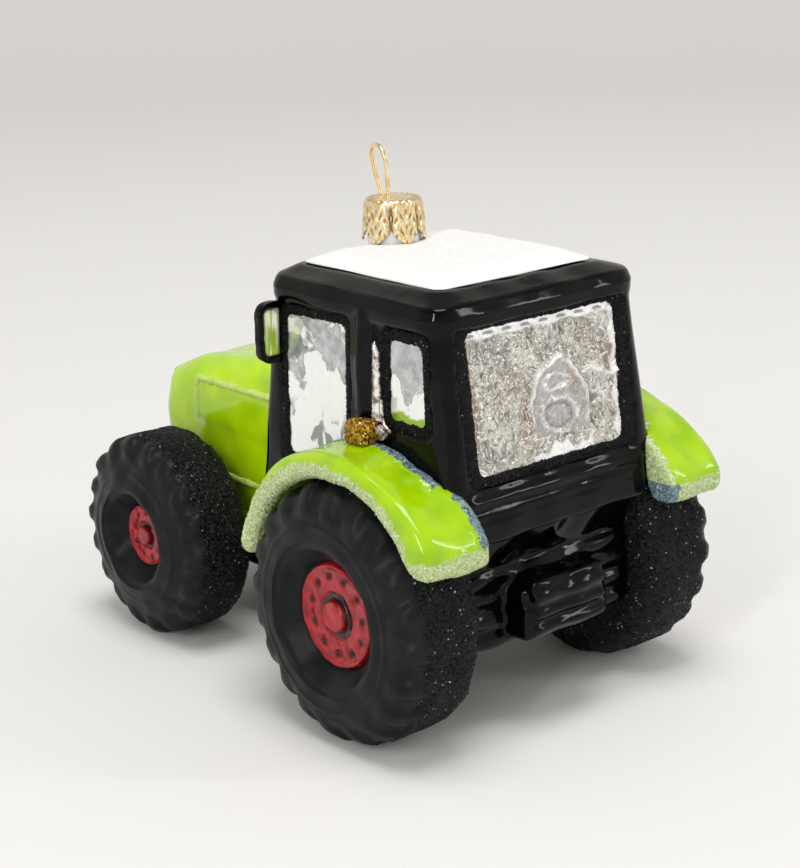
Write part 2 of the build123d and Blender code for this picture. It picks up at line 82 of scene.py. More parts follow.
class Shader:
    """A node tree with short calls for adding and linking nodes."""

    def __init__(self, tree):
        self.tree = tree

    def add(self, kind, inputs=None, **settings):
        node = self.tree.nodes.new(kind)
        for key, value in settings.items():
            setattr(node, key, value)
        for key, value in (inputs or {}).items():
            self.feed(node.inputs[key], value)
        return node

    def feed(self, socket, value):
        if isinstance(value, bpy.types.NodeSocket):
            self.tree.links.new(value, socket)
        else:
            socket.default_value = value

    def math(self, operation, first, second=0.0, clamp=False):
        node = self.add("ShaderNodeMath", operation=operation, use_clamp=clamp)
        self.feed(node.inputs[0], first)
        self.feed(node.inputs[1], second)
        return node.outputs[0]

    def vector(self, operation, first, second=(0, 0, 0), scale=None):
        node = self.add("ShaderNodeVectorMath", operation=operation)
        self.feed(node.inputs[0], first)
        if operation == "SCALE":
            self.feed(node.inputs["Scale"], scale)
        else:
            self.feed(node.inputs[1], second)
        return node.outputs["Vector"]

    def mix(self, mask, low, high):
        node = self.add("ShaderNodeMix", data_type="RGBA")
        self.feed(node.inputs[0], mask)
        self.feed(node.inputs[6], low)
        self.feed(node.inputs[7], high)
        return node.outputs[2]

    def ramp(self, value, low, high):
        """0 below low, 1 above high, a straight line between."""
        node = self.add("ShaderNodeMapRange", {"Value": value, "From Min": low, "From Max": high})
        return node.outputs["Result"]

    def between(self, share, low, high):
        """Straight line from low at 0 to high at 1."""
        node = self.add("ShaderNodeMapRange", {"Value": share, "To Min": low, "To Max": high})
        return node.outputs["Result"]

    def place(self):
        return self.add("ShaderNodeTexCoord").outputs["Object"]

    def value(self, attribute):
        return self.add("ShaderNodeAttribute", attribute_name=attribute).outputs["Fac"]

    def noise(self, place, size, detail=2.0, roughness=0.5, distortion=0.0):
        """Noise whose features are about a size in millimetres."""
        node = self.add("ShaderNodeTexNoise", {
            "Vector": place, "Scale": 1 / (size * MM), "Detail": detail, "Roughness": roughness,
            "Distortion": distortion})
        return node.outputs["Fac"]


def new_group(name, inputs, outputs):
    """Shader node group with named sockets, and the sockets to build it from."""
    tree = bpy.data.node_groups.new(name, "ShaderNodeTree")
    for label, kind, value in inputs:
        socket = tree.interface.new_socket(label, in_out="INPUT", socket_type=kind)
        socket.default_value = value
    for label, kind in outputs:
        tree.interface.new_socket(label, in_out="OUTPUT", socket_type=kind)
    shader = Shader(tree)
    given = shader.add("NodeGroupInput").outputs
    made = shader.add("NodeGroupOutput").inputs
    return tree, shader, given, made


def make_ripple():
    """Soft unevenness of lacquer over blown glass: a normal, and a slow mask for tint."""
    tree, sh, given, made = new_group(
        "soft_ripple",
        [("Size", "NodeSocketFloat", 5.0), ("Depth", "NodeSocketFloat", 0.1)],
        [("Normal", "NodeSocketVector"), ("Patch", "NodeSocketFloat")])
    place = sh.place()
    scale = sh.math("DIVIDE", 1 / MM, given["Size"])
    coarse = sh.add("ShaderNodeTexNoise", {"Vector": place, "Scale": scale, "Detail": 1.5})
    fine = sh.add("ShaderNodeTexNoise", {
        "Vector": place, "Scale": sh.math("MULTIPLY", scale, 3.7), "Detail": 2.0})
    height = sh.math("ADD", coarse.outputs["Fac"], sh.math("MULTIPLY", fine.outputs["Fac"], 0.18))
    bump = sh.add("ShaderNodeBump", {
        "Height": height, "Strength": 1.0, "Distance": sh.math("MULTIPLY", given["Depth"], MM)})
    sh.feed(made["Normal"], bump.outputs["Normal"])
    sh.feed(made["Patch"], coarse.outputs["Fac"])
    return tree


def make_flakes():
    """Glitter: each cell is a flake with its own tilt, tone and chance of a spark."""
    tree, sh, given, made = new_group(
        "glitter_flakes",
        [("Size", "NodeSocketFloat", 0.4), ("Tilt", "NodeSocketFloat", 0.8),
         ("Sparks", "NodeSocketFloat", 0.02)],
        [("Normal", "NodeSocketVector"), ("Tone", "NodeSocketFloat"), ("Spark", "NodeSocketFloat")])
    cell = sh.add("ShaderNodeTexVoronoi", {
        "Vector": sh.place(), "Scale": sh.math("DIVIDE", 1 / MM, given["Size"])}, feature="F1")
    parts = sh.add("ShaderNodeSeparateColor", {"Color": cell.outputs["Color"]}).outputs
    tilt = sh.vector("SUBTRACT", cell.outputs["Color"], (0.5, 0.5, 0.5))
    tilt = sh.vector("SCALE", tilt, scale=given["Tilt"])
    surface = sh.add("ShaderNodeNewGeometry").outputs["Normal"]
    normal = sh.vector("NORMALIZE", sh.vector("ADD", surface, tilt))
    sh.feed(made["Normal"], normal)
    sh.feed(made["Tone"], parts[1])
    sh.feed(made["Spark"], sh.math("LESS_THAN", parts[2], given["Sparks"]))
    return tree


RIPPLE = make_ripple()
FLAKES = make_flakes()


class Material(Shader):
    """Material with one Principled shader."""

    def __init__(self, name, **sockets):
        self.material = bpy.data.materials.new(name)
        self.material.use_nodes = True
        super().__init__(self.material.node_tree)
        self.shader = self.tree.nodes["Principled BSDF"]
        for key, value in sockets.items():
            self.set(key.replace("_", " "), value)

    def set(self, socket, value):
        self.feed(self.shader.inputs[socket], value)

    def group(self, tree, **inputs):
        node = self.add("ShaderNodeGroup", node_tree=tree)
        for key, value in inputs.items():
            self.feed(node.inputs[key], value)
        return node.outputs


def lacquer(name, light, dark, roughness, size, depth, coat=0.7, specular=0.5):
    """Glossy lacquer whose colour and gloss vary slowly over the glass."""
    mat = Material(name, Coat_Weight=coat, Coat_Roughness=0.04, Specular_IOR_Level=specular)
    ripple = mat.group(RIPPLE, Size=size, Depth=depth)
    patch = mat.ramp(ripple["Patch"], 0.35, 0.65)
    mat.set("Base Color", mat.mix(patch, dark, light))
    mat.set("Roughness", mat.between(patch, roughness, roughness + 0.08))
    mat.set("Normal", ripple["Normal"])
    return mat.material


def glitter(name, low, high, spark, size, tilt, sparks, roughness=0.3, metallic=0.0, specular=0.5):
    """Strewn glitter, its flakes toned between two colours, a few of them painted bright as painted glints.
    """
    mat = Material(name, Roughness=roughness, Metallic=metallic, Specular_IOR_Level=specular)
    flakes = mat.group(FLAKES, Size=size, Tilt=tilt, Sparks=sparks)
    tone = mat.mix(flakes["Tone"], low, high)
    # painted glints: a few flakes take the bright spark colour
    mat.set("Base Color", mat.mix(flakes["Spark"], tone, spark))
    mat.set("Normal", flakes["Normal"])
    return mat.material


def side_silver():
    """Silvered glass, bright, with a painted reflection: one grey cloud in its upper half and dark streaks
    low down; the tint attribute is green at the foot.
    """
    mat = Material("side_silver", Metallic=0.45, Roughness=0.16, Coat_Weight=0.4, Coat_Roughness=0.03)
    place = mat.place()
    height = mat.add("ShaderNodeSeparateXYZ", {"Vector": place}).outputs["Z"]
    # painted reflection: a grey cloud over the upper half with a dark rim, fainter where the calm attribute
    # is high
    cloud = mat.noise(place, 9.0, 6.0, 0.6, 0.6)
    level = mat.math("ADD", cloud, mat.between(mat.ramp(height, 0.057, 0.067), -0.16, 0.07))
    reflected_cloud = mat.math("MULTIPLY", mat.ramp(level, 0.500, 0.512), mat.between(mat.value("calm"), 1.0, 0.3))
    rim = mat.ramp(mat.math("ABSOLUTE", mat.math("SUBTRACT", level, 0.506)), 0.016, 0.004)
    speckle = mat.ramp(mat.noise(place, 1.8, 4.0, 0.6), 0.35, 0.65)
    mottle = mat.mix(speckle, srgb(164, 167, 170), srgb(208, 210, 211))
    tone = mat.mix(reflected_cloud, srgb(250, 250, 249), mottle)
    rim = mat.math("MULTIPLY", rim, mat.between(mat.value("calm"), 0.6, 0.1))
    tone = mat.mix(rim, tone, srgb(116, 118, 120))
    # painted reflection: dark streaks low on the pane
    reflected_streaks = mat.noise(mat.vector("MULTIPLY", place, (1.0, 1.0, 0.5)), 4.2, 3.0, 0.55, 1.0)
    reflected_streaks = mat.math("MULTIPLY", mat.ramp(reflected_streaks, 0.565, 0.585), mat.ramp(height, 0.058, 0.053))
    tone = mat.mix(mat.math("MULTIPLY", reflected_streaks, 0.8), tone, srgb(104, 106, 106))
    tone = mat.mix(mat.value("tint"), tone, srgb(150, 186, 40))
    mat.set("Base Color", tone)
    mat.set("Normal", mat.group(RIPPLE, Size=5.0, Depth=0.10)["Normal"])
    return mat.material


def rear_silver():
    """Hammered silvered glass: painted highlights in curled bright lines and painted shade in its pits, over
    warm grey; attributes add brown patches, white with painted highlights on the ridges, grey, and painted
    shade beside the ridges.
    """
    mat = Material("rear_silver", Metallic=0.55, Roughness=0.22, Coat_Weight=0.5, Coat_Roughness=0.03)
    place = mat.place()
    curl = mat.noise(place, 1.9, 2.5, 0.55, 2.2)
    fine = mat.noise(place, 0.8, 2.0, 0.5, 1.0)
    # painted highlights: curled bright lines over the hammered relief, fewer where the pane is smooth
    line = mat.ramp(mat.math("ABSOLUTE", mat.math("SUBTRACT", curl, 0.55)), 0.038, 0.014)
    line = mat.math("MULTIPLY", line, mat.between(mat.value("smooth"), 1.0, 0.35))
    line = mat.math("MULTIPLY", line, mat.ramp(fine, 0.38, 0.50))
    # painted shade in the pits of the hammered relief
    pit_shade = mat.ramp(curl, 0.44, 0.32)
    cloud = mat.ramp(mat.noise(place, 5.0, 4.0), 0.40, 0.60)
    tone = mat.mix(cloud, srgb(150, 148, 138), srgb(198, 196, 186))
    tone = mat.mix(mat.value("smooth"), tone, srgb(172, 171, 168))
    pit_shade = mat.math("MULTIPLY", pit_shade, mat.between(mat.value("smooth"), 0.85, 0.25))
    tone = mat.mix(pit_shade, tone, srgb(84, 80, 74))
    # brown patches, stronger in the pits
    brown_patch = mat.math("MULTIPLY", mat.value("brown_patch"), mat.between(pit_shade, 0.55, 0.95))
    tone = mat.mix(brown_patch, tone, srgb(146, 100, 56))
    # painted shade beside the ridges, from the dark attribute
    tone = mat.mix(mat.value("dark"), tone, srgb(104, 100, 94))
    tone = mat.mix(line, tone, srgb(252, 251, 249))
    # white bands, and painted highlights along the ridges of the relief
    tone = mat.mix(mat.value("white"), tone, srgb(250, 250, 250))
    tone = mat.mix(mat.value("grey"), tone, srgb(150, 150, 152))
    mat.set("Base Color", tone)
    bump = mat.add("ShaderNodeBump", {"Height": curl, "Strength": 1.0, "Distance": 0.30 * MM})
    mat.set("Normal", bump.outputs["Normal"])
    return mat.material


def mirror_silver():
    """Silvered glass with a painted reflection of the green fender in upright green streaks, and painted
    highlights in white ones.
    """
    mat = Material("mirror_silver", Metallic=0.5, Roughness=0.14, Coat_Weight=0.4, Coat_Roughness=0.03)
    stretched = mat.vector("MULTIPLY", mat.place(), (1.0, 1.0, 0.09))
    streak = mat.noise(stretched, 1.9, 2.0, 0.5, 0.4)
    # painted reflection of the green fender, then white streaks as painted highlights
    tone = mat.mix(mat.ramp(streak, 0.38, 0.46), srgb(96, 104, 20), srgb(176, 206, 44))
    tone = mat.mix(mat.ramp(streak, 0.545, 0.575), tone, srgb(244, 246, 232))
    mat.set("Base Color", tone)
    mat.set("Normal", mat.group(RIPPLE, Size=4.0, Depth=0.08)["Normal"])
    return mat.material


def plain_silver():
    """Bare silver with brown clouds of painted reflection, for the lamps and the strip between the windows.
    """
    mat = Material("plain_silver", Metallic=0.8, Roughness=0.14)
    # painted reflection: brown clouds over the silver
    cloud = mat.ramp(mat.noise(mat.place(), 1.6, 3.0), 0.42, 0.56)
    tone = mat.mix(cloud, srgb(132, 112, 100), srgb(240, 238, 234))
    mat.set("Base Color", tone)
    mat.set("Normal", mat.group(RIPPLE, Size=2.0, Depth=0.10)["Normal"])
    return mat.material


def red_hub_material():
    """Red lacquer with painted shade: the shade attribute darkens it near to black in the dimples and round
    the boss.
    """
    mat = Material("hub_red", Coat_Weight=0.3, Coat_Roughness=0.05, Roughness=0.22, Specular_IOR_Level=0.3)
    ripple = mat.group(RIPPLE, Size=2.4, Depth=0.16)
    red = mat.mix(mat.ramp(ripple["Patch"], 0.35, 0.65), srgb(138, 10, 22), srgb(178, 24, 36))
    # painted shade: near black where the shade attribute is high
    mat.set("Base Color", mat.mix(mat.value("shade"), red, srgb(26, 8, 10)))
    mat.set("Normal", ripple["Normal"])
    return mat.material


def tyre_material():
    mat = Material("tyre_satin", Roughness=0.38, Specular_IOR_Level=0.12)
    ripple = mat.group(RIPPLE, Size=4.0, Depth=0.08)
    tone = mat.mix(mat.ramp(ripple["Patch"], 0.35, 0.65), srgb(20, 22, 23), srgb(30, 32, 33))
    mat.set("Base Color", tone)
    mat.set("Normal", ripple["Normal"])
    return mat.material


def gold_material(name, size, depth, roughness):
    """Gold-coloured metal with painted shade: brown in the stamped hollows and creases, by an attribute."""
    mat = Material(name, Metallic=1.0)
    ripple = mat.group(RIPPLE, Size=size, Depth=depth)
    patch = mat.ramp(ripple["Patch"], 0.3, 0.7)
    tone = mat.mix(patch, srgb(232, 198, 136), srgb(255, 242, 206))
    # painted shade: dark brown in the stamped hollows and creases
    mat.set("Base Color", mat.mix(mat.value("hollow_shade"), tone, srgb(120, 82, 34)))
    mat.set("Roughness", mat.between(patch, roughness + 0.12, roughness))
    mat.set("Normal", ripple["Normal"])
    return mat.material


BLACK = lacquer(
    "black_lacquer", srgb(4, 4, 5), srgb(1, 1, 2),
    roughness=0.06, size=6.0, depth=0.11, coat=0.0, specular=0.17)
# One green lacquer in two copies, as painted light and shade: lighter on the bonnet, whose sides get less
# light, and darker on the fenders, whose tops get more.
BONNET_GREEN_PAINTED_LIGHT = lacquer(
    "green_lacquer", srgb(186, 226, 4), srgb(162, 208, 0),
    roughness=0.14, size=7.0, depth=0.14, coat=0.25, specular=0.35)
FENDER_GREEN_PAINTED_SHADE = lacquer(
    "fender_lacquer", srgb(168, 208, 2), srgb(146, 190, 0),
    roughness=0.14, size=6.0, depth=0.16, coat=0.3, specular=0.4)
PALE = lacquer(
    "pale_line", srgb(198, 220, 124), srgb(176, 206, 76),
    roughness=0.35, size=1.6, depth=0.12, coat=0.2, specular=0.35)
RED = red_hub_material()
TYRE = tyre_material()
TREAD = glitter(
    "black_glitter", srgb(0, 0, 1), srgb(36, 36, 39), srgb(190, 190, 195),
    size=0.26, tilt=1.4, sparks=0.008, roughness=0.4, specular=0.14)
BORDER = glitter(
    "black_border_glitter", srgb(0, 0, 1), srgb(26, 26, 28), srgb(150, 150, 155),
    size=0.24, tilt=1.4, sparks=0.005, roughness=0.4, specular=0.12)
SUGAR = glitter(
    "sugar_glitter", srgb(160, 186, 96), srgb(212, 224, 182), srgb(250, 252, 244),
    size=0.28, tilt=0.9, sparks=0.04, roughness=0.5)
BLUE = glitter(
    "blue_glitter", srgb(58, 84, 96), srgb(142, 166, 172), srgb(215, 230, 235),
    size=0.28, tilt=1.0, sparks=0.03, roughness=0.4)
GOLD_GLITTER = glitter(
    "gold_glitter", srgb(132, 92, 16), srgb(214, 168, 62), srgb(255, 236, 180),
    size=0.40, tilt=1.4, sparks=0.06, roughness=0.3, metallic=0.7)
PINK_GLITTER = glitter(
    "pink_glitter", srgb(120, 104, 104), srgb(226, 204, 204), srgb(255, 248, 248),
    size=0.40, tilt=1.2, sparks=0.08, roughness=0.3, metallic=0.5)
ROOF_WHITE = glitter(
    "roof_white", srgb(230, 230, 228), srgb(237, 237, 236), srgb(246, 246, 246),
    size=0.30, tilt=0.30, sparks=0.04, roughness=0.7, specular=0.2)
SIDE_SILVER = side_silver()
REAR_SILVER = rear_silver()
MIRROR_SILVER = mirror_silver()
PLAIN_SILVER = plain_silver()
GOLD = gold_material("gold_cap", size=0.9, depth=0.10, roughness=0.22)
WIRE = gold_material("gold_wire", size=3.0, depth=0.02, roughness=0.18)


# --- mesh helpers

def wobble(places, size, seed, count=9):
    """Smooth random field of about -1 to 1 over an array of places in millimetres."""
    rng = np.random.default_rng(seed)
    total = np.zeros(len(places))
    for _ in range(count):
        way = rng.normal(size=3)
        way /= np.linalg.norm(way)
        total += np.sin(places @ way * (TAU / size) * rng.uniform(0.7, 1.4) + rng.uniform(0, TAU))
    return total / math.sqrt(count)


def smooth_step(value, low, high):
    share = np.clip((value - low) / (high - low), 0, 1)
    return share * share * (3 - 2 * share)


def coordinates(mesh):
    """Vertices in millimetres."""
    flat = np.zeros(len(mesh.vertices) * 3)
    mesh.vertices.foreach_get("co", flat)
    return flat.reshape(-1, 3) / MM


def normals(mesh):
    flat = np.zeros(len(mesh.vertices) * 3)
    mesh.vertices.foreach_get("normal", flat)
    return flat.reshape(-1, 3)


def set_coordinates(mesh, places):
    mesh.vertices.foreach_set("co", (places * MM).ravel())
    mesh.update()


def shade(mesh, smooth=True):
    mesh.polygons.foreach_set("use_smooth", [smooth] * len(mesh.polygons))
    mesh.update()


def from_arrays(name, places, faces):
    mesh = bpy.data.meshes.new(name)
    mesh.from_pydata([tuple(v) for v in places * MM], [], faces)
    mesh.validate()
    shade(mesh)
    return mesh


def baked(obj):
    """Plain mesh of an object with its modifiers applied; the object goes."""
    graph = bpy.context.evaluated_depsgraph_get()
    mesh = bpy.data.meshes.new_from_object(obj.evaluated_get(graph))
    name = obj.name
    bpy.data.objects.remove(obj)
    mesh.name = name
    return mesh


def add_object(name, data):
    """Object in the scene that holds a mesh, a lamp or a camera."""
    obj = bpy.data.objects.new(name, data)
    bpy.context.scene.collection.objects.link(obj)
    return obj


def piece(name, mesh, materials, body="figure", stands_for=()):
    """Finished object that rides on a body."""
    if mesh.materials:
        mesh.materials.clear()
    for material in materials:
        mesh.materials.append(material)
    obj = add_object(name, mesh)
    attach(obj, body)
    if stands_for:
        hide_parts(*stands_for)
    return obj


def set_attribute(mesh, name, values):
    attribute = mesh.attributes.new(name, "FLOAT", "POINT")
    attribute.data.foreach_set("value", np.ascontiguousarray(values, dtype=float))


def cad_copy(name, nodes, extra=()):
    """Merged copy of CAD nodes, with other meshes added."""
    bm = bmesh.new()
    for node in nodes:
        bm.from_mesh(cad[node].data)
    bmesh.ops.remove_doubles(bm, verts=bm.verts, dist=2e-6)
    for mesh in extra:
        bm.from_mesh(mesh)
    mesh = bpy.data.meshes.new(name)
    bm.to_mesh(mesh)
    bm.free()
    return mesh


def drop_islands(mesh, share=0.02):
    """Delete small loose parts that a remesh leaves inside."""
    bm = bmesh.new()
    bm.from_mesh(mesh)
    seen, islands = set(), []
    for start in bm.verts:
        if start in seen:
            continue
        seen.add(start)
        island = [start]
        for vert in island:
            near = (edge.other_vert(vert) for edge in vert.link_edges)
            fresh = [other for other in near if other not in seen]
            seen.update(fresh)
            island += fresh
        islands.append(island)
    limit = share * max(len(island) for island in islands)
    small = [vert for island in islands if len(island) < limit for vert in island]
    bmesh.ops.delete(bm, geom=small, context="VERTS")
    bm.to_mesh(mesh)
    bm.free()


def melted(name, nodes, voxel, rounds, extra=()):
    """Skin over CAD nodes with its edges softened, as glass blown into a mould has them."""
    obj = add_object(name, cad_copy(name, nodes, extra))
    remesh = obj.modifiers.new("skin", "REMESH")
    remesh.mode = "VOXEL"
    remesh.voxel_size = voxel * MM
    melt = obj.modifiers.new("melt", "SMOOTH")
    melt.factor = 0.5
    melt.iterations = rounds
    mesh = baked(obj)
    drop_islands(mesh)
    shade(mesh)
    return mesh


def glazed(name, nodes, voxel, rounds, material, ripple=None, extra=(), ending="_glass"):
    """Melted skin over CAD nodes as a finished piece; ripple is its (size, depth, seed)."""
    mesh = melted(name + "_skin", nodes, voxel, rounds, extra)
    if ripple:
        ripple_skin(mesh, *ripple)
    piece(name + ending, mesh, [material], stands_for=nodes)


def push(mesh, amount):
    """Move each vertex along its normal by an array of millimetres."""
    set_coordinates(mesh, coordinates(mesh) + normals(mesh) * np.asarray(amount)[:, None])


def ripple_skin(mesh, size, depth, seed):
    push(mesh, wobble(coordinates(mesh), size, seed) * depth)


def ring_faces(rings, steps, closed=False):
    """Quads between rings of vertices; closed joins the last ring to the first."""
    faces = []
    for i in range(rings if closed else rings - 1):
        here, there = i * steps, (i + 1) % rings * steps
        for k in range(steps):
            m = (k + 1) % steps
            faces.append((here + k, here + m, there + m, there + k))
    return faces


def tube(path, radius, sides=8, closed=False):
    """Round bead along a path of places in millimetres, as a closed mesh."""
    path = [Vector(p) for p in path]
    count = len(path)
    verts = []
    for i, here in enumerate(path):
        before = path[i - 1] if i or closed else here
        after = path[(i + 1) % count] if i + 1 < count or closed else here
        along = (after - before).normalized()
        upright = abs(along.z) > 0.95
        side = (along.orthogonal() if upright else along.cross(Vector((0, 0, 1)))).normalized()
        up = side.cross(along).normalized()
        for k in range(sides):
            turn = TAU * k / sides
            verts.append(here + radius * (math.cos(turn) * side + math.sin(turn) * up))
    faces = ring_faces(count, sides, closed)
    if not closed:
        faces.append(tuple(range(sides))[::-1])
        faces.append(tuple((count - 1) * sides + k for k in range(sides)))
    return outward(from_arrays("bead", np.array([tuple(v) for v in verts]), faces))


def outward(mesh):
    bm = bmesh.new()
    bm.from_mesh(mesh)
    bmesh.ops.remove_doubles(bm, verts=bm.verts, dist=1e-7)
    bmesh.ops.recalc_face_normals(bm, faces=bm.faces)
    bm.to_mesh(mesh)
    bm.free()
    mesh.update()
    return mesh


def spread_path(corners, step, closed=False):
    """Places about a step apart along straight runs."""
    places = []
    count = len(corners)
    for i in range(count if closed else count - 1):
        a, b = Vector(corners[i]), Vector(corners[(i + 1) % count])
        parts = max(1, round((b - a).length / step))
        places += [a.lerp(b, k / parts) for k in range(parts)]
    if not closed:
        places.append(Vector(corners[-1]))
    return places


def face_patch(name, mesh, keep=None):
    """Copy of the faces that keep says, or of all of them, to strew grains on."""
    bm = bmesh.new()
    bm.from_mesh(mesh)
    bm.faces.ensure_lookup_table()
    lost = [] if keep is None else [face for face, kept in zip(bm.faces, keep) if not kept]
    bmesh.ops.delete(bm, geom=lost, context="FACES")
    patch = bpy.data.meshes.new(name)
    bm.to_mesh(patch)
    bm.free()
    return patch


def face_centres(mesh):
    flat = np.zeros(len(mesh.polygons) * 3)
    mesh.polygons.foreach_get("center", flat)
    return flat.reshape(-1, 3) / MM


# --- strewn grains

def grain_tree():
    """Small closed crystals strewn over a skin."""
    tree = bpy.data.node_groups.new("strewn_grains", "GeometryNodeTree")
    inputs = [
        ("Skin", "NodeSocketGeometry", None), ("Density", "NodeSocketFloat", 1e6),
        ("Size", "NodeSocketFloat", 0.0004), ("Seed", "NodeSocketInt", 1),
        ("Finish", "NodeSocketMaterial", None)]
    for label, kind, value in inputs:
        socket = tree.interface.new_socket(label, in_out="INPUT", socket_type=kind)
        if value is not None:
            socket.default_value = value
    tree.interface.new_socket("Grains", in_out="OUTPUT", socket_type="NodeSocketGeometry")
    sh = Shader(tree)
    given = sh.add("NodeGroupInput").outputs
    points = sh.add("GeometryNodeDistributePointsOnFaces", {
        "Mesh": given["Skin"], "Density": given["Density"], "Seed": given["Seed"]})
    crystal = sh.add("GeometryNodeMeshCone", {
        "Vertices": 3, "Radius Top": 0.0, "Radius Bottom": given["Size"],
        "Depth": sh.math("MULTIPLY", given["Size"], 0.7)})
    turn = sh.add("FunctionNodeRandomValue", data_type="FLOAT_VECTOR")
    sh.feed(turn.inputs[1], (TAU, TAU, TAU))
    sh.feed(turn.inputs["Seed"], given["Seed"])
    scale = sh.add("FunctionNodeRandomValue", data_type="FLOAT")
    sh.feed(scale.inputs[2], 0.45)
    sh.feed(scale.inputs[3], 1.15)
    sh.feed(scale.inputs["Seed"], sh.math("ADD", given["Seed"], 1.0))
    strewn = sh.add("GeometryNodeInstanceOnPoints", {
        "Points": points.outputs["Points"], "Instance": crystal.outputs["Mesh"],
        "Rotation": turn.outputs[0], "Scale": scale.outputs[1]})
    real = sh.add("GeometryNodeRealizeInstances", {"Geometry": strewn.outputs["Instances"]})
    done = sh.add("GeometryNodeSetMaterial", {
        "Geometry": real.outputs["Geometry"], "Material": given["Finish"]})
    sh.add("NodeGroupOutput", {"Grains": done.outputs["Geometry"]})
    return tree


GRAINS = grain_tree()


def strew(name, skin, material, per_square_mm, size, seed):
    """Grains over a skin, as a piece of its own."""
    obj = add_object(name, skin)
    modifier = obj.modifiers.new("grains", "NODES")
    modifier.node_group = GRAINS
    sockets = GRAINS.interface.items_tree
    keys = {socket.name: socket.identifier for socket in sockets if socket.in_out == "INPUT"}
    modifier[keys["Density"]] = per_square_mm / (MM * MM)
    modifier[keys["Size"]] = size * MM
    modifier[keys["Seed"]] = seed
    modifier[keys["Finish"]] = material
    obj.update_tag()
    mesh = baked(obj)
    shade(mesh, False)
    return piece(name, mesh, [material])


# --- wheels

# sizes of the tyres: shoulder, mouth, floor radius, sink, bulge, lugs and seed
TYRES = {"rear": (6.0, 14.2, 9.9, 3.6, 0.5, 20, 21), "front": (4.2, 10.6, 6.5, 4.0, 1.7, 18, 31)}
# dimples and seed of the hubs
HUBS = {"rear": (11, 41), "front": (9, 51)}
# kinds of row in a tyre's section
DISH, WALL, CROWN, BACK = range(4)


def tyre_profile(radius, width, shoulder, mouth, floor_radius, sink, bulge):
    """Half section of a tyre, as rows of (radius, depth below the outer face, kind)."""
    rows = []

    def run(points, kind, step):
        for (r0, d0), (r1, d1) in zip(points[:-1], points[1:]):
            parts = max(1, round(math.hypot(r1 - r0, d1 - d0) / step))
            rows.extend((r0 + (r1 - r0) * k / parts, d0 + (d1 - d0) * k / parts, kind) for k in range(parts))

    lip = 1.1
    drop = lip * 0.6
    run([(floor_radius, sink + 0.6), (floor_radius + 0.3, sink), (mouth - lip, drop)], DISH, 0.5)
    run([(mouth - lip + lip * math.sin(t), drop - drop * (1 - math.cos(t)))
         for t in np.linspace(0, math.pi / 2, 5)], WALL, 0.4)
    edge = radius - shoulder
    run([(mouth, 0.0), (edge, bulge)], WALL, 0.45)
    run([(edge + shoulder * math.sin(t), bulge + shoulder * (1 - math.cos(t)))
         for t in np.linspace(0, math.pi / 2, 13)], WALL, 0.5)
    inner = 4.5
    run([(radius, bulge + shoulder), (radius, width - inner)], CROWN, 0.45)
    run([(radius - inner * (1 - math.cos(t)), width - inner + inner * math.sin(t))
         for t in np.linspace(0, math.pi / 2, 7)], CROWN, 0.8)
    run([(radius - inner, width), (radius * 0.25, width)], BACK, 2.0)
    rows.append((0.6, width, BACK))
    return rows


def about_axle(centre, radius, y, turn):
    """Places round an axle through a centre, by radius and angle."""
    x, z = centre.x + radius * np.cos(turn), centre.z + radius * np.sin(turn)
    return np.stack([x, y, z], -1).reshape(-1, 3)


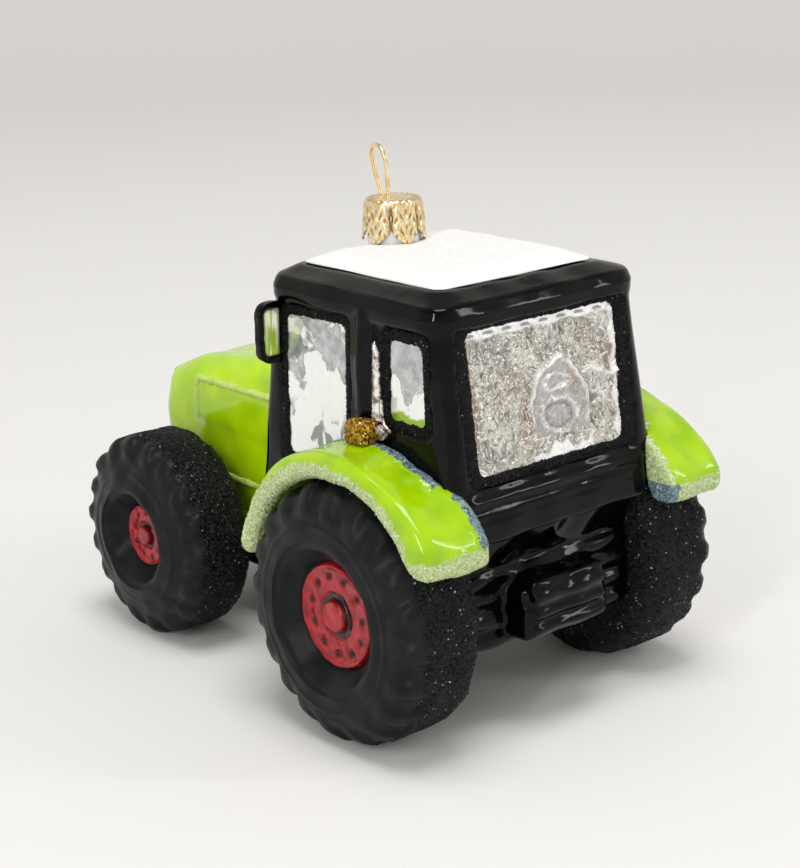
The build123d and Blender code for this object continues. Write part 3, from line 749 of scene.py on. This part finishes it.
def make_tyre(kind, side, sign, shoulder, mouth, floor_radius, sink, bulge, lugs, seed):
    node = f"tyre_{kind}_{side}"
    low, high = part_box(node)
    centre = (low + high) / 2 / MM
    radius = (high.z - low.z) / 2 / MM
    width = (high.y - low.y) / MM
    outer_face = abs(centre.y) + width / 2
    rows = tyre_profile(radius, width, shoulder, mouth, floor_radius, sink, bulge)
    steps = round(TAU * radius / 0.5)
    r, d, k = (np.array(column) for column in zip(*rows))
    # outward direction of the section at each row
    dr, dd = np.gradient(r), np.gradient(d)
    length = np.hypot(dr, dd) + 1e-9
    out_r, out_d = dd / length, -dr / length
    R, T = np.meshgrid(r, np.linspace(0, TAU, steps, endpoint=False), indexing="ij")
    D = np.broadcast_to(d[:, None], R.shape)
    place = about_axle(Vector(), R, D, T)
    # soft lobes of the lugs over the shoulder, slanted off the radius
    slant, lobe_height = 0.42, 0.85
    lobe = smooth_step(np.cos(T * lugs + (R - radius) * slant), -0.9, 0.7)
    on_wall = ((k == WALL) | (k == CROWN))[:, None] * smooth_step(R, radius * 0.74, radius * 0.93)
    on_wall = on_wall * (1 - smooth_step(D, bulge + shoulder * 0.7, bulge + shoulder * 1.15))
    lift = (lobe - 0.7) * lobe_height * on_wall
    # one thin ridge round the sidewall, shallow moulding waves, and the grain of the tread
    ridge_at, ridge_width, ridge_height, wave, grain = mouth + 0.3 * (radius - mouth), 0.35, 0.28, 0.16, 0.11
    ridge = np.exp(-((R - ridge_at) / ridge_width) ** 2) * ridge_height * (k == WALL)[:, None]
    lift += ridge * (0.75 + 0.25 * np.cos(T * 3 + seed))
    lift += (wobble(place, 7.0, seed).reshape(R.shape) * wave) * (k != BACK)[:, None]
    lift += np.random.default_rng(seed).normal(size=R.shape) * grain * (k == CROWN)[:, None]
    lifted_r = np.minimum(R + lift * out_r[:, None], radius)
    lifted_d = np.maximum(D + lift * out_d[:, None], -0.1)
    places = about_axle(centre, lifted_r, sign * (outer_face - lifted_d), T)
    faces = ring_faces(len(rows), steps)
    faces.append(tuple(range(steps)))
    faces.append(tuple((len(rows) - 1) * steps + j for j in range(steps)))
    # the glitter starts at a ragged line on the shoulder
    ragged = wobble(place, 1.6, seed + 5).reshape(R.shape) * 0.45
    tread = (k >= CROWN)[:, None] | ((k == WALL)[:, None] & (d[:, None] + ragged > bulge + shoulder * 0.62))
    mesh = from_arrays(node + "_skin", places, faces)
    mesh.polygons.foreach_set("material_index", np.append(tread[:-1], [False, False]).astype(int))
    outward(mesh)
    piece(f"{node}_glass", mesh, [TYRE, TREAD], stands_for=(node,))
    centres = face_centres(mesh)
    index = np.zeros(len(mesh.polygons), int)
    mesh.polygons.foreach_get("material_index", index)
    depth = outer_face - np.abs(centres[:, 1])
    keep = (index == 1) & (depth < width - 2.5) & (centres[:, 2] > 0.4)
    strew(f"{node}_grains", face_patch("tread", mesh, keep), TREAD, 9.0, 0.16, seed + 11)


def make_hub(kind, side, sign, dimples, seed):
    node = f"hub_{kind}_{side}"
    low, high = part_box(node)
    centre = (low + high) / 2 / MM
    radius = (high.z - low.z) / 2 / MM
    face = min(abs(low.y), abs(high.y)) / MM + 3.0
    rings, steps = 44, 132
    turn = np.linspace(0, TAU, steps, endpoint=False)
    R, T = np.meshgrid(np.linspace(0.02, 1.0, rings) * radius, turn, indexing="ij")
    share = R / radius
    # the boss, the groove round it, the rim, and the painted shade in the groove
    lift = 0.9 * (1 - smooth_step(share, 0.27, 0.34))
    lift -= 0.5 * smooth_step(share, 0.27, 0.34) * (1 - smooth_step(share, 0.42, 0.48))
    lift += 0.35 * smooth_step(share, 0.86, 0.95) - 1.2 * smooth_step(share, 0.96, 1.0)
    dark = 0.97 * smooth_step(share, 0.28, 0.32) * (1 - smooth_step(share, 0.40, 0.46))
    spot = 0.74 * radius
    for i in range(dimples):
        angle = TAU * (i + 0.3) / dimples
        across, up = R * np.cos(T) - spot * math.cos(angle), R * np.sin(T) - spot * math.sin(angle)
        away = np.hypot(across, up) / radius
        lift -= 0.55 * np.exp(-(away / 0.075) ** 2)
        # painted shade in each dimple
        dark = np.maximum(dark, 0.95 * (1 - smooth_step(away, 0.05, 0.10)))
    lift += wobble(about_axle(Vector(), R, np.zeros_like(R), T), 3.0, seed).reshape(R.shape) * 0.09
    front = about_axle(centre, R, sign * (face + lift), T)
    back = about_axle(centre, radius, np.full(steps, sign * (face - 2.9)), turn)
    faces = ring_faces(rings + 1, steps)
    faces.append(tuple(range(steps)))
    faces.append(tuple(rings * steps + j for j in range(steps)))
    mesh = from_arrays(node + "_skin", np.concatenate([front, back]), faces)
    set_attribute(mesh, "shade", np.concatenate([dark.ravel(), np.zeros(steps)]))
    piece(f"{node}_glass", outward(mesh), [RED], stands_for=(node,))


def make_wheels():
    for side, sign in SIDES:
        for kind, (*sizes, seed) in TYRES.items():
            make_tyre(kind, side, sign, *sizes, seed + sign)
        for kind, (dimples, seed) in HUBS.items():
            make_hub(kind, side, sign, dimples, seed + sign)


# --- cab

def pane_frame(node):
    """A pane's middle, its ways along, up and out, its outline along and up, and its face's height."""
    places = coordinates(cad[node].data)
    centre = places.mean(0)
    _, _, ways = np.linalg.svd(places - centre, full_matrices=False)
    out = ways[2]
    cad_middle = np.array([*(Vector(cad_box[0]) + Vector(cad_box[1]))]) / 2 / MM
    if out[:2] @ (centre - cad_middle)[:2] < 0:
        out = -out
    up = np.array([0, 0, 1.0]) - out * out[2]
    up /= np.linalg.norm(up)
    along = np.cross(up, out)
    local = np.stack([(places - centre) @ along, (places - centre) @ up, (places - centre) @ out], -1)
    hull = geometry.convex_hull_2d([Vector((p[0], p[1])) for p in local])
    outline = [Vector((local[i][0], local[i][1])) for i in hull]
    return centre, along, up, out, outline, local[:, 2].max()


def even_loop(outline, step):
    """Places about a step apart round a closed outline."""
    closed = outline + [outline[0]]
    lengths = [0.0]
    for a, b in zip(closed[:-1], closed[1:]):
        lengths.append(lengths[-1] + (b - a).length)
    count = round(lengths[-1] / step)
    places, j = [], 0
    for i in range(count):
        goal = lengths[-1] * i / count
        while lengths[j + 1] < goal:
            j += 1
        share = (goal - lengths[j]) / (lengths[j + 1] - lengths[j])
        places.append(closed[j].lerp(closed[j + 1], share))
    return places


def glitter_border(name, node, sides, ends, seed):
    """Ragged bank of black glitter on a pane's margin, as wide as sides beside it and ends across."""
    centre, along, up, out, outline, top = pane_frame(node)
    loop = even_loop(outline, 0.25)
    count = len(loop)
    mid = sum(loop, Vector((0, 0))) / count
    half = Vector((max(abs(p.x - mid.x) for p in loop), max(abs(p.y - mid.y) for p in loop)))
    rng = np.random.default_rng(seed)
    flat = np.array([[p.x, p.y, 0] for p in loop])
    ragged = wobble(flat, 5.0, seed) * 0.08 + rng.normal(size=count) * 0.09
    grain = rng.normal(size=count) * 0.05
    # (share of the way in, height over the pane) round the bank's section
    section = [(-0.15, -0.5), (-0.12, 0.55), (0.5, 0.45), (0.9, 0.26), (1.0, -0.3)]
    verts = []
    for p, shift, bump in zip(loop, ragged, grain):
        away = p - mid
        side = away.normalized()
        for share, rise in section:
            q = mid + Vector((away.x * (1 - share * sides / half.x), away.y * (1 - share * ends / half.y)))
            if share > 0.5:
                q += side * shift
            lift = rise + (bump if rise > 0 else 0)
            verts.append(centre + along * q.x + up * q.y + out * (top + lift))
    mesh = outward(from_arrays(name, np.array(verts), ring_faces(count, len(section), closed=True)))
    piece(name, mesh, [BORDER])
    skin = face_patch(name + "_skin", mesh)
    strew(name + "_grains", skin, BORDER, 12.0, 0.11, seed + 3)


def silver_pane(node, material, relief, voxel=0.4):
    """Pane of silvered glass; relief(along, up) gives its face's lift and its attributes."""
    centre, along, up, out, outline, top = pane_frame(node)
    mesh = melted(node + "_skin", [node], voxel, 2)
    places = coordinates(mesh)
    lift, marks = relief((places - centre) @ along, (places - centre) @ up)
    front = smooth_step((places - centre) @ out, 0.0, 0.4)
    set_coordinates(mesh, places + out * (lift * front)[:, None])
    for name, values in marks.items():
        set_attribute(mesh, name, values)
    piece(node + "_glass", mesh, [material], stands_for=(node,))


def waves(a, u, depth, seed):
    """Long and short waves of a pane, by places along and up."""
    flat = np.stack([a, u, np.zeros_like(a)], -1)
    return depth * (wobble(flat, 6.0, seed) + 0.4 * wobble(flat, 2.6, seed + 1))


def wavy(depth, seed, green=0.0, calm=0.0):
    """Gently waved glass; its foot shows as much green as it is told, in millimetres."""
    def relief(a, u):
        tint = np.zeros_like(a)
        if green:
            edge = u - u.min() - 1.6 + 0.4 * np.sin(a * 0.9)
            tint = 1 - smooth_step(edge, green - 0.25, green)
        return waves(a, u, depth, seed), {"tint": tint, "calm": np.full_like(a, calm)}
    return relief


def seat_relief(a, u):
    """Hammered glass with the back of a seat pressed into it: an arch over an oval and a round form."""
    flat = np.stack([a, u, a * 0], -1)
    stray = 0.20 * wobble(flat, 5.0, 75) + 0.12 * wobble(flat, 1.8, 76)

    def ring(x, y, half_x, half_y, width, shift=0.0):
        away = (np.hypot(x / half_x, y / half_y) - 1) * min(half_x, half_y) - shift + stray
        return np.exp(-(away / width) ** 2)

    above = smooth_step(u, -9.0, -5.0)
    # each form's place along and up from its middle, and its half sizes
    arch_form = (a - 2.7, u + 5.0, 6.9, 9.6)
    round_form = (a - 2.6, u + 5.4, 4.3, 3.1)
    arch = ring(*arch_form, 0.42) * above
    # painted shade in a ring just outside the arch's ridge
    arch_shade = ring(*arch_form, 0.40, 1.0) * above
    oval = ring(a - 2.0, u - 0.6, 2.7, 1.5, 0.32)
    disc = ring(*round_form, 0.42)
    # painted shade in a ring just inside the round form's ridge
    disc_shade = ring(*round_form, 0.35, -0.9)
    ridge = u - 0.5 - 0.9 * np.sin((a - 8.0) * 0.55)
    shoulder = np.exp(-(ridge / 0.45) ** 2) * smooth_step(a, 8.0, 9.5)
    inside = (np.hypot((a - 2.7) / 6.5, (u + 5.0) / 9.2) < 1) & (u > -8.5)
    lift = waves(a, u, 0.10, 71) + 0.45 * arch + 0.3 * oval + 0.35 * disc + 0.35 * shoulder
    breaks = 0.35 + 0.65 * smooth_step(wobble(flat, 3.2, 72), -0.9, 0.4)
    grit = smooth_step(wobble(flat, 1.1, 73), -1.2, 0.4)
    low, high = u.min(), u.max()
    # strip of white along the head with a row of grey ovals, and a broken one along the foot
    strip = smooth_step(u + 0.25 * np.sin(a * 0.8) + 0.15 * stray, high - 3.1, high - 2.7)
    row = np.hypot(((a + 1.6) % 4.4 - 2.2) / 1.25, (u - (high - 2.25)) / 0.36)
    ovals = (1 - smooth_step(row, 0.8, 1.1)) * smooth_step(u, high - 3.2, high - 2.9)
    foot = smooth_step(-u + 0.9 * np.sin(a * 0.7) + 0.5 * np.sin(a * 1.9), -low - 3.4, -low - 3.0)
    foot = foot * smooth_step(a, -5.0, -3.5) * (1 - smooth_step(a, 9.5, 11.0))
    edge_right = smooth_step(a + 0.5 * np.sin(u * 1.1), 16.2, 16.8)
    # white: the strips and the right edge, and painted highlights along the arch, the round form, the oval
    # and the shoulder
    white = np.maximum.reduce([
        strip, foot, edge_right * 0.8, 0.9 * shoulder * breaks, 0.85 * arch * breaks,
        0.85 * disc * breaks * grit, 0.8 * oval * grit])
    # brown patches: three soft spots and a broad faint wash
    brown_patch = np.maximum.reduce([
        np.exp(-((a + 5.4) / 1.5) ** 2 - ((u + 3.5) / 6.5) ** 2),
        0.8 * np.exp(-((a - 7.0) / 1.6) ** 2 - ((u - 0.5) / 3.0) ** 2),
        0.9 * np.exp(-((a + 17.4) / 0.8) ** 2 - (u / 9.0) ** 2),
        0.45 * smooth_step(wobble(flat, 9.0, 74), 0.3, 1.2)])
    # dark is painted shade beside the ridges of the arch and the round form
    marks = {"white": white, "grey": ovals, "brown_patch": brown_patch, "smooth": inside.astype(float),
             "dark": 0.6 * np.maximum(arch_shade * breaks, disc_shade)}
    return np.clip(lift, -0.4, 0.6), {name: np.clip(values, 0, 1) for name, values in marks.items()}


def make_panes():
    silver_pane("rear_window", REAR_SILVER, seat_relief, 0.28)
    glitter_border("rear_window_border", "rear_window", 2.9, 1.6, 62)
    silver_pane("windscreen", SIDE_SILVER, wavy(0.10, 63, calm=1.0))
    glitter_border("windscreen_border", "windscreen", 1.8, 1.2, 64)
    for i, (side, _) in enumerate(SIDES):
        seed = 65 + 4 * i
        silver_pane(f"door_window_{side}", SIDE_SILVER, wavy(0.10, seed))
        glitter_border(f"door_window_{side}_border", f"door_window_{side}", 1.8, 1.9, seed + 1)
        silver_pane(f"quarter_window_{side}", SIDE_SILVER, wavy(0.08, seed + 2, 1.7))
        glitter_border(f"quarter_window_{side}_border", f"quarter_window_{side}", 2.1, 2.0, seed + 3)


def rounded_loop(low, high, corner, height, step):
    """Places round a rectangle with rounded corners, at a height."""
    places = []
    turns = ((high[0], high[1], 0), (low[0], high[1], 90), (low[0], low[1], 180), (high[0], low[1], 270))
    for x, y, start in turns:
        cx = x - corner if x == high[0] else x + corner
        cy = y - corner if y == high[1] else y + corner
        for angle in np.radians(np.linspace(start, start + 90, 7)):
            places.append((cx + corner * math.cos(angle), cy + corner * math.sin(angle), height))
    return spread_path(places, step, closed=True)


def make_cab():
    low, high = box_mm("roof")
    header = []
    for drop, inset in ((0.9, 0.05), (2.4, 0.12)):
        near, far = (low.x + inset, low.y + inset), (high.x - inset, high.y - inset)
        header.append(tube(rounded_loop(near, far, 4.6, low.z - drop, 1.0), 0.75, 8, closed=True))
    posts = [f"side_post_{side}" for side, _ in SIDES]
    glazed("cab", ["cab_frame", "roof", *posts], 0.48, 9, BLACK, (13.0, 0.12, 81), header)
    glazed("roof_panel", ["roof_panel"], 0.45, 8, ROOF_WHITE, (9.0, 0.08, 83))


def side_wall(x, z, proud=0.0):
    """Place on the left wall of the cab, x ahead of the rear axle, from the panes that lie in it."""
    centre, _, _, out, _, top = pane_frame("quarter_window_left")
    face = centre + out * (top + 0.7)
    flat = rear_axle.x / MM + x
    y = face[1] - ((flat - face[0]) * out[0] + (z - face[2]) * out[2]) / out[1]
    return np.array([flat, y, z]) + out * proud


def flip(mesh):
    """Mirror image over the middle plane, still facing outward."""
    copy = mesh.copy()
    set_coordinates(copy, coordinates(copy) * np.array([1, -1, 1]))
    return outward(copy)


def slab(name, corners, depth, seed, step=0.4):
    """Low bank over a four-cornered patch of the left wall, its edge ragged."""
    a, b, c, d = (np.array(corner, float) for corner in corners)
    wide = max(2, round(np.linalg.norm(b - a) / step))
    tall = max(2, round(np.linalg.norm(d - a) / step))
    rng = np.random.default_rng(seed)
    verts = []
    for layer in (0, 1):
        for i in range(tall + 1):
            for j in range(wide + 1):
                s, t = j / wide, i / tall
                x, z = (a * (1 - s) + b * s) * (1 - t) + (d * (1 - s) + c * s) * t
                rim = i in (0, tall) or j in (0, wide)
                proud = -0.5 if layer == 0 else (0.02 if rim else depth + rng.normal() * 0.05)
                if rim:
                    x += rng.normal() * 0.10
                    z += rng.normal() * 0.10
                verts.append(side_wall(x, z, proud))
    row = wide + 1
    count = (tall + 1) * row
    faces = []
    for i in range(tall):
        for j in range(wide):
            k = i * row + j
            faces.append((k, k + 1, k + row + 1, k + row))
            faces.append((count + k, count + k + row, count + k + row + 1, count + k + 1))
    ring = [*range(wide)] + [i * row + wide for i in range(tall)]
    ring += [tall * row + j for j in range(wide, 0, -1)] + [i * row for i in range(tall, 0, -1)]
    for here, after in zip(ring, ring[1:] + ring[:1]):
        faces.append((here, after, count + after, count + here))
    return outward(from_arrays(name, np.array(verts), faces))


def make_trim():
    """Glitter, a silver strip and a curl of silver as a painted highlight, between the two side windows."""
    bank = slab("pillar_glitter", [(1.5, 58.0), (-1.0, 58.0), (-0.4, 75.6), (1.3, 75.6)], 0.18, 84)
    strip = slab("pillar_silver", [(0.9, 57.6), (-1.2, 57.6), (-0.7, 70.0), (0.4, 72.5)], 0.85, 85)
    # painted highlight: a curl of silver beside the quarter window's frame
    bends = ((-2.1, 62.0), (-2.2, 59.2), (-2.9, 57.5), (-4.6, 56.6))
    curl = tube(spread_path([tuple(side_wall(x, z, 0.7)) for x, z in bends], 0.5), 0.28, 8)
    lump = bpy.data.meshes.new("pink_lump")
    bm = bmesh.new()
    bmesh.ops.create_icosphere(bm, subdivisions=4, radius=1.25 * MM)
    bm.to_mesh(lump)
    bm.free()
    shade(lump)
    push(lump, wobble(coordinates(lump), 2.2, 86) * 0.22)
    set_coordinates(lump, coordinates(lump) + side_wall(-2.0, 56.3, 0.5))
    rows = (  # name, mesh, material, slot, grains on a square millimetre and their size
        ("pillar_glitter", bank, BORDER, "black_lacquer", 9.0, 0.15),
        ("pillar_silver", strip, PLAIN_SILVER, "silvered_glass", 0, 0),
        ("pillar_highlight_curl", curl, PLAIN_SILVER, "silvered_glass", 0, 0),
        ("pink_lump", lump, PINK_GLITTER, "gold_glitter", 8.0, 0.2))
    for side, sign in SIDES:
        for name, mesh, material, slot, density, size in rows:
            mesh = mesh.copy() if sign > 0 else flip(mesh)
            piece(f"{name}_{side}", mesh, [material])
            if density:
                skin = face_patch(name, mesh)
                strew(f"{name}_grains_{side}", skin, material, density, size, 87 + sign)


def make_underside():
    nodes = ["rear_axle", "cab_underside", "rear_hitch", "chassis", "front_axle", "front_weight"]
    low, high = box_mm("rear_hitch")
    ridges = [tube(spread_path([(low.x, low.y + 1.5, z), (low.x, high.y - 1.5, z)], 1.0), 1.0, 8)
              for z in (low.z + 2.2, low.z + 5.2, low.z + 8.2)]
    glazed("underside", nodes, 0.42, 30, BLACK, (9.0, 0.18, 91), ridges)


# --- bonnet and fenders

def make_bonnet():
    nodes = ["bonnet", "bonnet_skirt", "bonnet_panel_left", "bonnet_panel_right"]
    glazed("bonnet", nodes, 0.45, 45, BONNET_GREEN_PAINTED_LIGHT, (12.0, 0.14, 101))
    glazed("grille", ["grille"], 0.3, 2, BLACK)
    step_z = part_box("bonnet")[0].z / MM
    line_radius, line_sink = 0.82, 0.62
    for side, sign in SIDES:
        glazed(f"headlamp_{side}", [f"headlamp_{side}"], 0.3, 4, PLAIN_SILVER)
        low, high = box_mm(f"bonnet_panel_{side}")
        y = sign * (max(abs(low.y), abs(high.y)) - line_sink)
        under = y - sign * 0.4
        lines = [
            [(low.x, y, high.z), (high.x - 1, y, high.z - 0.2), (high.x, y, high.z - 1.5),
             (high.x, y, low.z + 0.5)],
            [(low.x + 2, under, step_z), (high.x + 6, under, step_z)],
        ]
        for i, line in enumerate(lines):
            seed = 105 + 3 * i + (sign > 0)
            bead = tube(spread_path(line, 0.4), line_radius, 14)
            push(bead, wobble(coordinates(bead), 2.5, seed) * 0.10)
            piece(f"bonnet_line_{i + 1}_{side}", bead, [PALE])


def fender_rim(places, sign):
    """Millimetres from each place to the fender's lower outline, seen from the side."""
    x = places[:, 0] - rear_axle.x / MM
    z = places[:, 2] - rear_axle.z / MM
    solid = coordinates(cad[f"fender_{'left' if sign > 0 else 'right'}"].data)
    low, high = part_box("tyre_rear_left")
    inner = (high.z - low.z) / 2 / MM + 1.0
    at_tail = solid[solid[:, 0] < solid[:, 0].min() + 0.3]
    foot = np.array([solid[:, 0].min() - rear_axle.x / MM, at_tail[:, 2].min() - rear_axle.z / MM])
    # the arch ends at these angles from straight ahead
    arch_back, arch_front = math.radians(149), math.radians(12)
    end = inner * np.array([math.cos(arch_back), math.sin(arch_back)])
    way = (end - foot) / np.linalg.norm(end - foot)
    across = np.abs((z - foot[1]) * way[0] - (x - foot[0]) * way[1])
    from_arc = np.hypot(x, z) - inner
    front = np.maximum(z - inner * math.sin(arch_front), 0) * 0.8
    return np.where(x < end[0] + 0.5, across, np.minimum(np.abs(from_arc), front))


def make_fenders():
    for side, sign in SIDES:
        node = f"fender_{side}"
        mesh = melted(node + "_skin", [node], 0.42, 28)
        ripple_skin(mesh, 10.0, 0.20, 111 + sign)
        low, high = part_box(node)
        outer = max(abs(low.y), abs(high.y)) / MM
        centres = face_centres(mesh)
        y = sign * centres[:, 1]
        wall_foot, wall_head = side_wall(0, 40.0)[1], side_wall(0, 54.0)[1]
        wall = wall_foot + (wall_head - wall_foot) * (centres[:, 2] - 40.0) / 14.0
        behind = centres[:, 0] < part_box("rear_window")[0].x / MM + 1.5
        wall = np.where(behind, min(abs(low.y), abs(high.y)) / MM, wall)
        edge = fender_rim(centres, sign)
        ragged = wobble(centres, 2.4, 113 + sign) * 0.3 + wobble(centres, 1.1, 115) * 0.2
        rear = centres[:, 0] < low.x / MM + 1.6 + 0.3 * ragged
        sugar = (edge < 3.0 + ragged) & ((y > outer - 2.2 + ragged) | rear)
        sugar |= rear & (centres[:, 2] < 40.4 + ragged)
        # a long blue band on the left; on the right a blue spot at the foot and a sugar band over it
        inner, height = y - wall - ragged, centres[:, 2]
        if sign > 0:
            blue = (inner < 2.3) & (height > 38) & ~sugar
        else:
            blue = (inner < 1.9) & (height < 40.5)
            sugar = (sugar | ((inner < 1.3) & (height < 50))) & ~blue
        finish = np.where(sugar, 1, np.where(blue, 2, 0))
        mesh.polygons.foreach_set("material_index", finish)
        # the glitter stands a little proud of the lacquer
        raised = np.zeros(len(mesh.vertices))
        raised[[v for face, kind in zip(mesh.polygons, finish) if kind for v in face.vertices]] = 1
        rng = np.random.default_rng(117 + sign)
        push(mesh, raised * (0.16 + rng.normal(size=len(raised)) * 0.05))
        piece(node + "_glass", mesh, [FENDER_GREEN_PAINTED_SHADE, SUGAR, BLUE], stands_for=(node,))
        strew(node + "_sugar", face_patch("sugar", mesh, sugar), SUGAR, 10.0, 0.14, 119 + sign)
        strew(node + "_blue", face_patch("blue", mesh, blue), BLUE, 10.0, 0.15, 121 + sign)
        lamp_node = f"fender_lamp_{side}"
        lamp = melted(lamp_node + "_skin", [lamp_node], 0.3, 8)
        push(lamp, np.random.default_rng(123).normal(size=len(lamp.vertices)) * 0.08)
        piece(lamp_node + "_glass", lamp, [GOLD_GLITTER], stands_for=(lamp_node,))
        strew(lamp_node + "_grains", face_patch("lamp", lamp), GOLD_GLITTER, 6.0, 0.24, 125 + sign)


def make_mirrors():
    for side, sign in SIDES:
        holder, glass = f"mirror_frame_{side}", f"mirror_glass_{side}"
        glazed(holder, [holder], 0.22, 5, BLACK, (3.0, 0.06, 131 + sign))
        glazed(glass, [glass], 0.22, 2, MIRROR_SILVER, ending="_silver")


# --- cap, neck and wire

def make_cap():
    low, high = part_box("cap")
    centre = (low + high) / 2 / MM
    foot, top = low.z / MM, high.z / MM
    wide = (high.x - low.x) / 2 / MM
    narrow = wide - 0.7
    petals, steps, rows = 6, 288, 26
    first_petal = math.radians(164.4)
    turn = np.linspace(0, TAU, steps, endpoint=False)
    share = ((turn - first_petal) / TAU * petals) % 1.0
    # 0 at the middle of a notch and 1 at the middle of a petal
    from_notch = np.abs(share - 0.5) * 2
    rise = 2.6 * (1 - from_notch) ** 1.5 - 0.2
    places, hollow_shade = [], []
    for v in np.linspace(0, 1, rows):
        z = (foot + rise) * (1 - v) + (top - 0.6) * v
        height = (z - foot) / (top - foot)
        radius = wide + (narrow - wide) * height
        crease = 0.55 * np.exp(-(from_notch / 0.13) ** 2) * (1 - smooth_step(height, 0.75, 0.95))
        belly = 0.28 * np.sin(np.clip(height, 0, 1) * math.pi) * from_notch
        fade = 1 - smooth_step(height, 0.8, 0.95)
        scroll = fade * np.sin(height * 17 + np.cos(from_notch * 7) * 1.6) * np.cos(from_notch * 9)
        radius = radius - crease + belly * 0.6 + 0.16 * scroll - 0.25
        # painted shade for the creases and for the hollows of the scroll
        hollow_shade.append(np.clip(0.75 * smooth_step(-scroll, 0.25, 0.8) + 1.6 * crease, 0, 0.9))
        places.append(np.stack([radius * np.cos(turn), radius * np.sin(turn), z], -1))
    for k, (r_share, drop) in enumerate(((0.93, 0.25), (0.84, 0.04), (0.6, 0.0), (0.3, 0.0), (0.08, 0.0))):
        radius = narrow * r_share
        z = np.full(steps, top - drop) + (0.08 * np.cos(turn * 24) if k < 2 else 0)
        hollow_shade.append(np.zeros(steps))
        places.append(np.stack([radius * np.cos(turn), radius * np.sin(turn), z], -1))
    count = len(places)
    places = np.concatenate(places) + np.array([centre.x, centre.y, 0])
    faces = ring_faces(count, steps)
    faces.append(tuple((count - 1) * steps + j for j in range(steps)))
    mesh = from_arrays("cap_skin", places, faces)
    set_attribute(mesh, "hollow_shade", np.concatenate(hollow_shade))
    obj = add_object("cap_sheet", outward(mesh))
    wall = obj.modifiers.new("wall", "SOLIDIFY")
    wall.thickness = 0.25 * MM
    wall.offset = -1
    mesh = baked(obj)
    shade(mesh)
    piece("cap_metal", mesh, [GOLD], body="cap", stands_for=("cap",))
    for node, material in (("hanger", WIRE), ("neck", ROOF_WHITE)):
        cad[node].data.materials.clear()
        cad[node].data.materials.append(material)


# --- studio

def make_studio():
    # in metres: the floor turns up into a round backdrop a long way behind
    floor_reach, curve, wall_top, steps = 1.0, 0.5, 1.4, 96
    profile = [(0.5, 0.0), (floor_reach, 0.0)]
    profile += [(floor_reach + curve * math.sin(t), curve - curve * math.cos(t))
                for t in np.linspace(0, math.pi / 2, 12)[1:]]
    profile += [(floor_reach + curve, wall_top)]
    verts = [(0, 0, 0)]
    for r, z in profile:
        verts += [(r * math.cos(TAU * j / steps), r * math.sin(TAU * j / steps), z) for j in range(steps)]
    faces = [(0, 1 + j, 1 + (j + 1) % steps) for j in range(steps)]
    faces += [(1 + a, 1 + d, 1 + c, 1 + b) for a, b, c, d in ring_faces(len(profile), steps)]
    mesh = bpy.data.meshes.new("backdrop")
    mesh.from_pydata(verts, [], faces)
    shade(mesh)
    paper = Material("paper", Roughness=0.9)
    grain = paper.add("ShaderNodeTexNoise", {"Vector": paper.place(), "Scale": 3.0, "Detail": 2.0})
    floor = paper.mix(grain.outputs["Fac"], srgb(228, 227, 226), srgb(232, 231, 230))
    height = paper.add("ShaderNodeSeparateXYZ", {"Vector": paper.place()}).outputs["Z"]
    paper.set("Base Color", paper.mix(paper.ramp(height, 0.0, 0.5), floor, srgb(246, 243, 237)))
    mesh.materials.append(paper.material)
    add_object("backdrop", mesh)

    world = bpy.data.worlds.new("studio")
    world.use_nodes = True
    background = world.node_tree.nodes["Background"].inputs
    background["Color"].default_value = (1, 1, 1, 1)
    background["Strength"].default_value = 0.40
    bpy.context.scene.world = world
    bpy.context.scene.view_settings.view_transform = "Standard"
    lamps = [  # name, place, size, watts
        ("overhead", (-0.20, 0.10, 1.50), (0.70, 0.70), 12.2),
        ("left_panel", (-0.35, 0.70, 0.45), (0.06, 0.50), 2.00),
        ("right_panel", (-0.55, -0.45, 0.40), (0.05, 0.45), 0.80),
    ]
    for name, place, size, watts in lamps:
        data = bpy.data.lights.new(name, "AREA")
        data.shape = "RECTANGLE"
        data.size, data.size_y = size
        data.energy = watts
        lamp = add_object(name, data)
        lamp.location = place
        lamp.rotation_euler = (Vector(place) - Vector((0, 0, 0.04))).to_track_quat("Z", "Y").to_euler()


def make_camera():
    azimuth, elevation, roll = (math.radians(angle) for angle in (230.4, 16.54, -1.78))
    distance = 0.3734
    target = Vector((rear_axle.x + 0.0241, 0, 0.0449))
    back = Vector((math.sin(azimuth) * math.cos(elevation), -math.cos(azimuth) * math.cos(elevation),
                   math.sin(elevation)))
    right = Vector((0, 0, 1)).cross(back).normalized()
    up = back.cross(right)
    right, up = (math.cos(roll) * right + math.sin(roll) * up, math.cos(roll) * up - math.sin(roll) * right)
    data = bpy.data.cameras.new("camera")
    data.lens = 79.69
    data.sensor_width = 36.0
    data.clip_start = 0.01
    camera = add_object("camera", data)
    turned = Matrix((right, up, back)).transposed().to_4x4()
    camera.matrix_world = Matrix.Translation(target + back * distance) @ turned
    bpy.context.scene.camera = camera


make_camera()
make_studio()
make_wheels()
make_cab()
make_panes()
make_trim()
make_underside()
make_bonnet()
make_fenders()
make_mirrors()
make_cap()
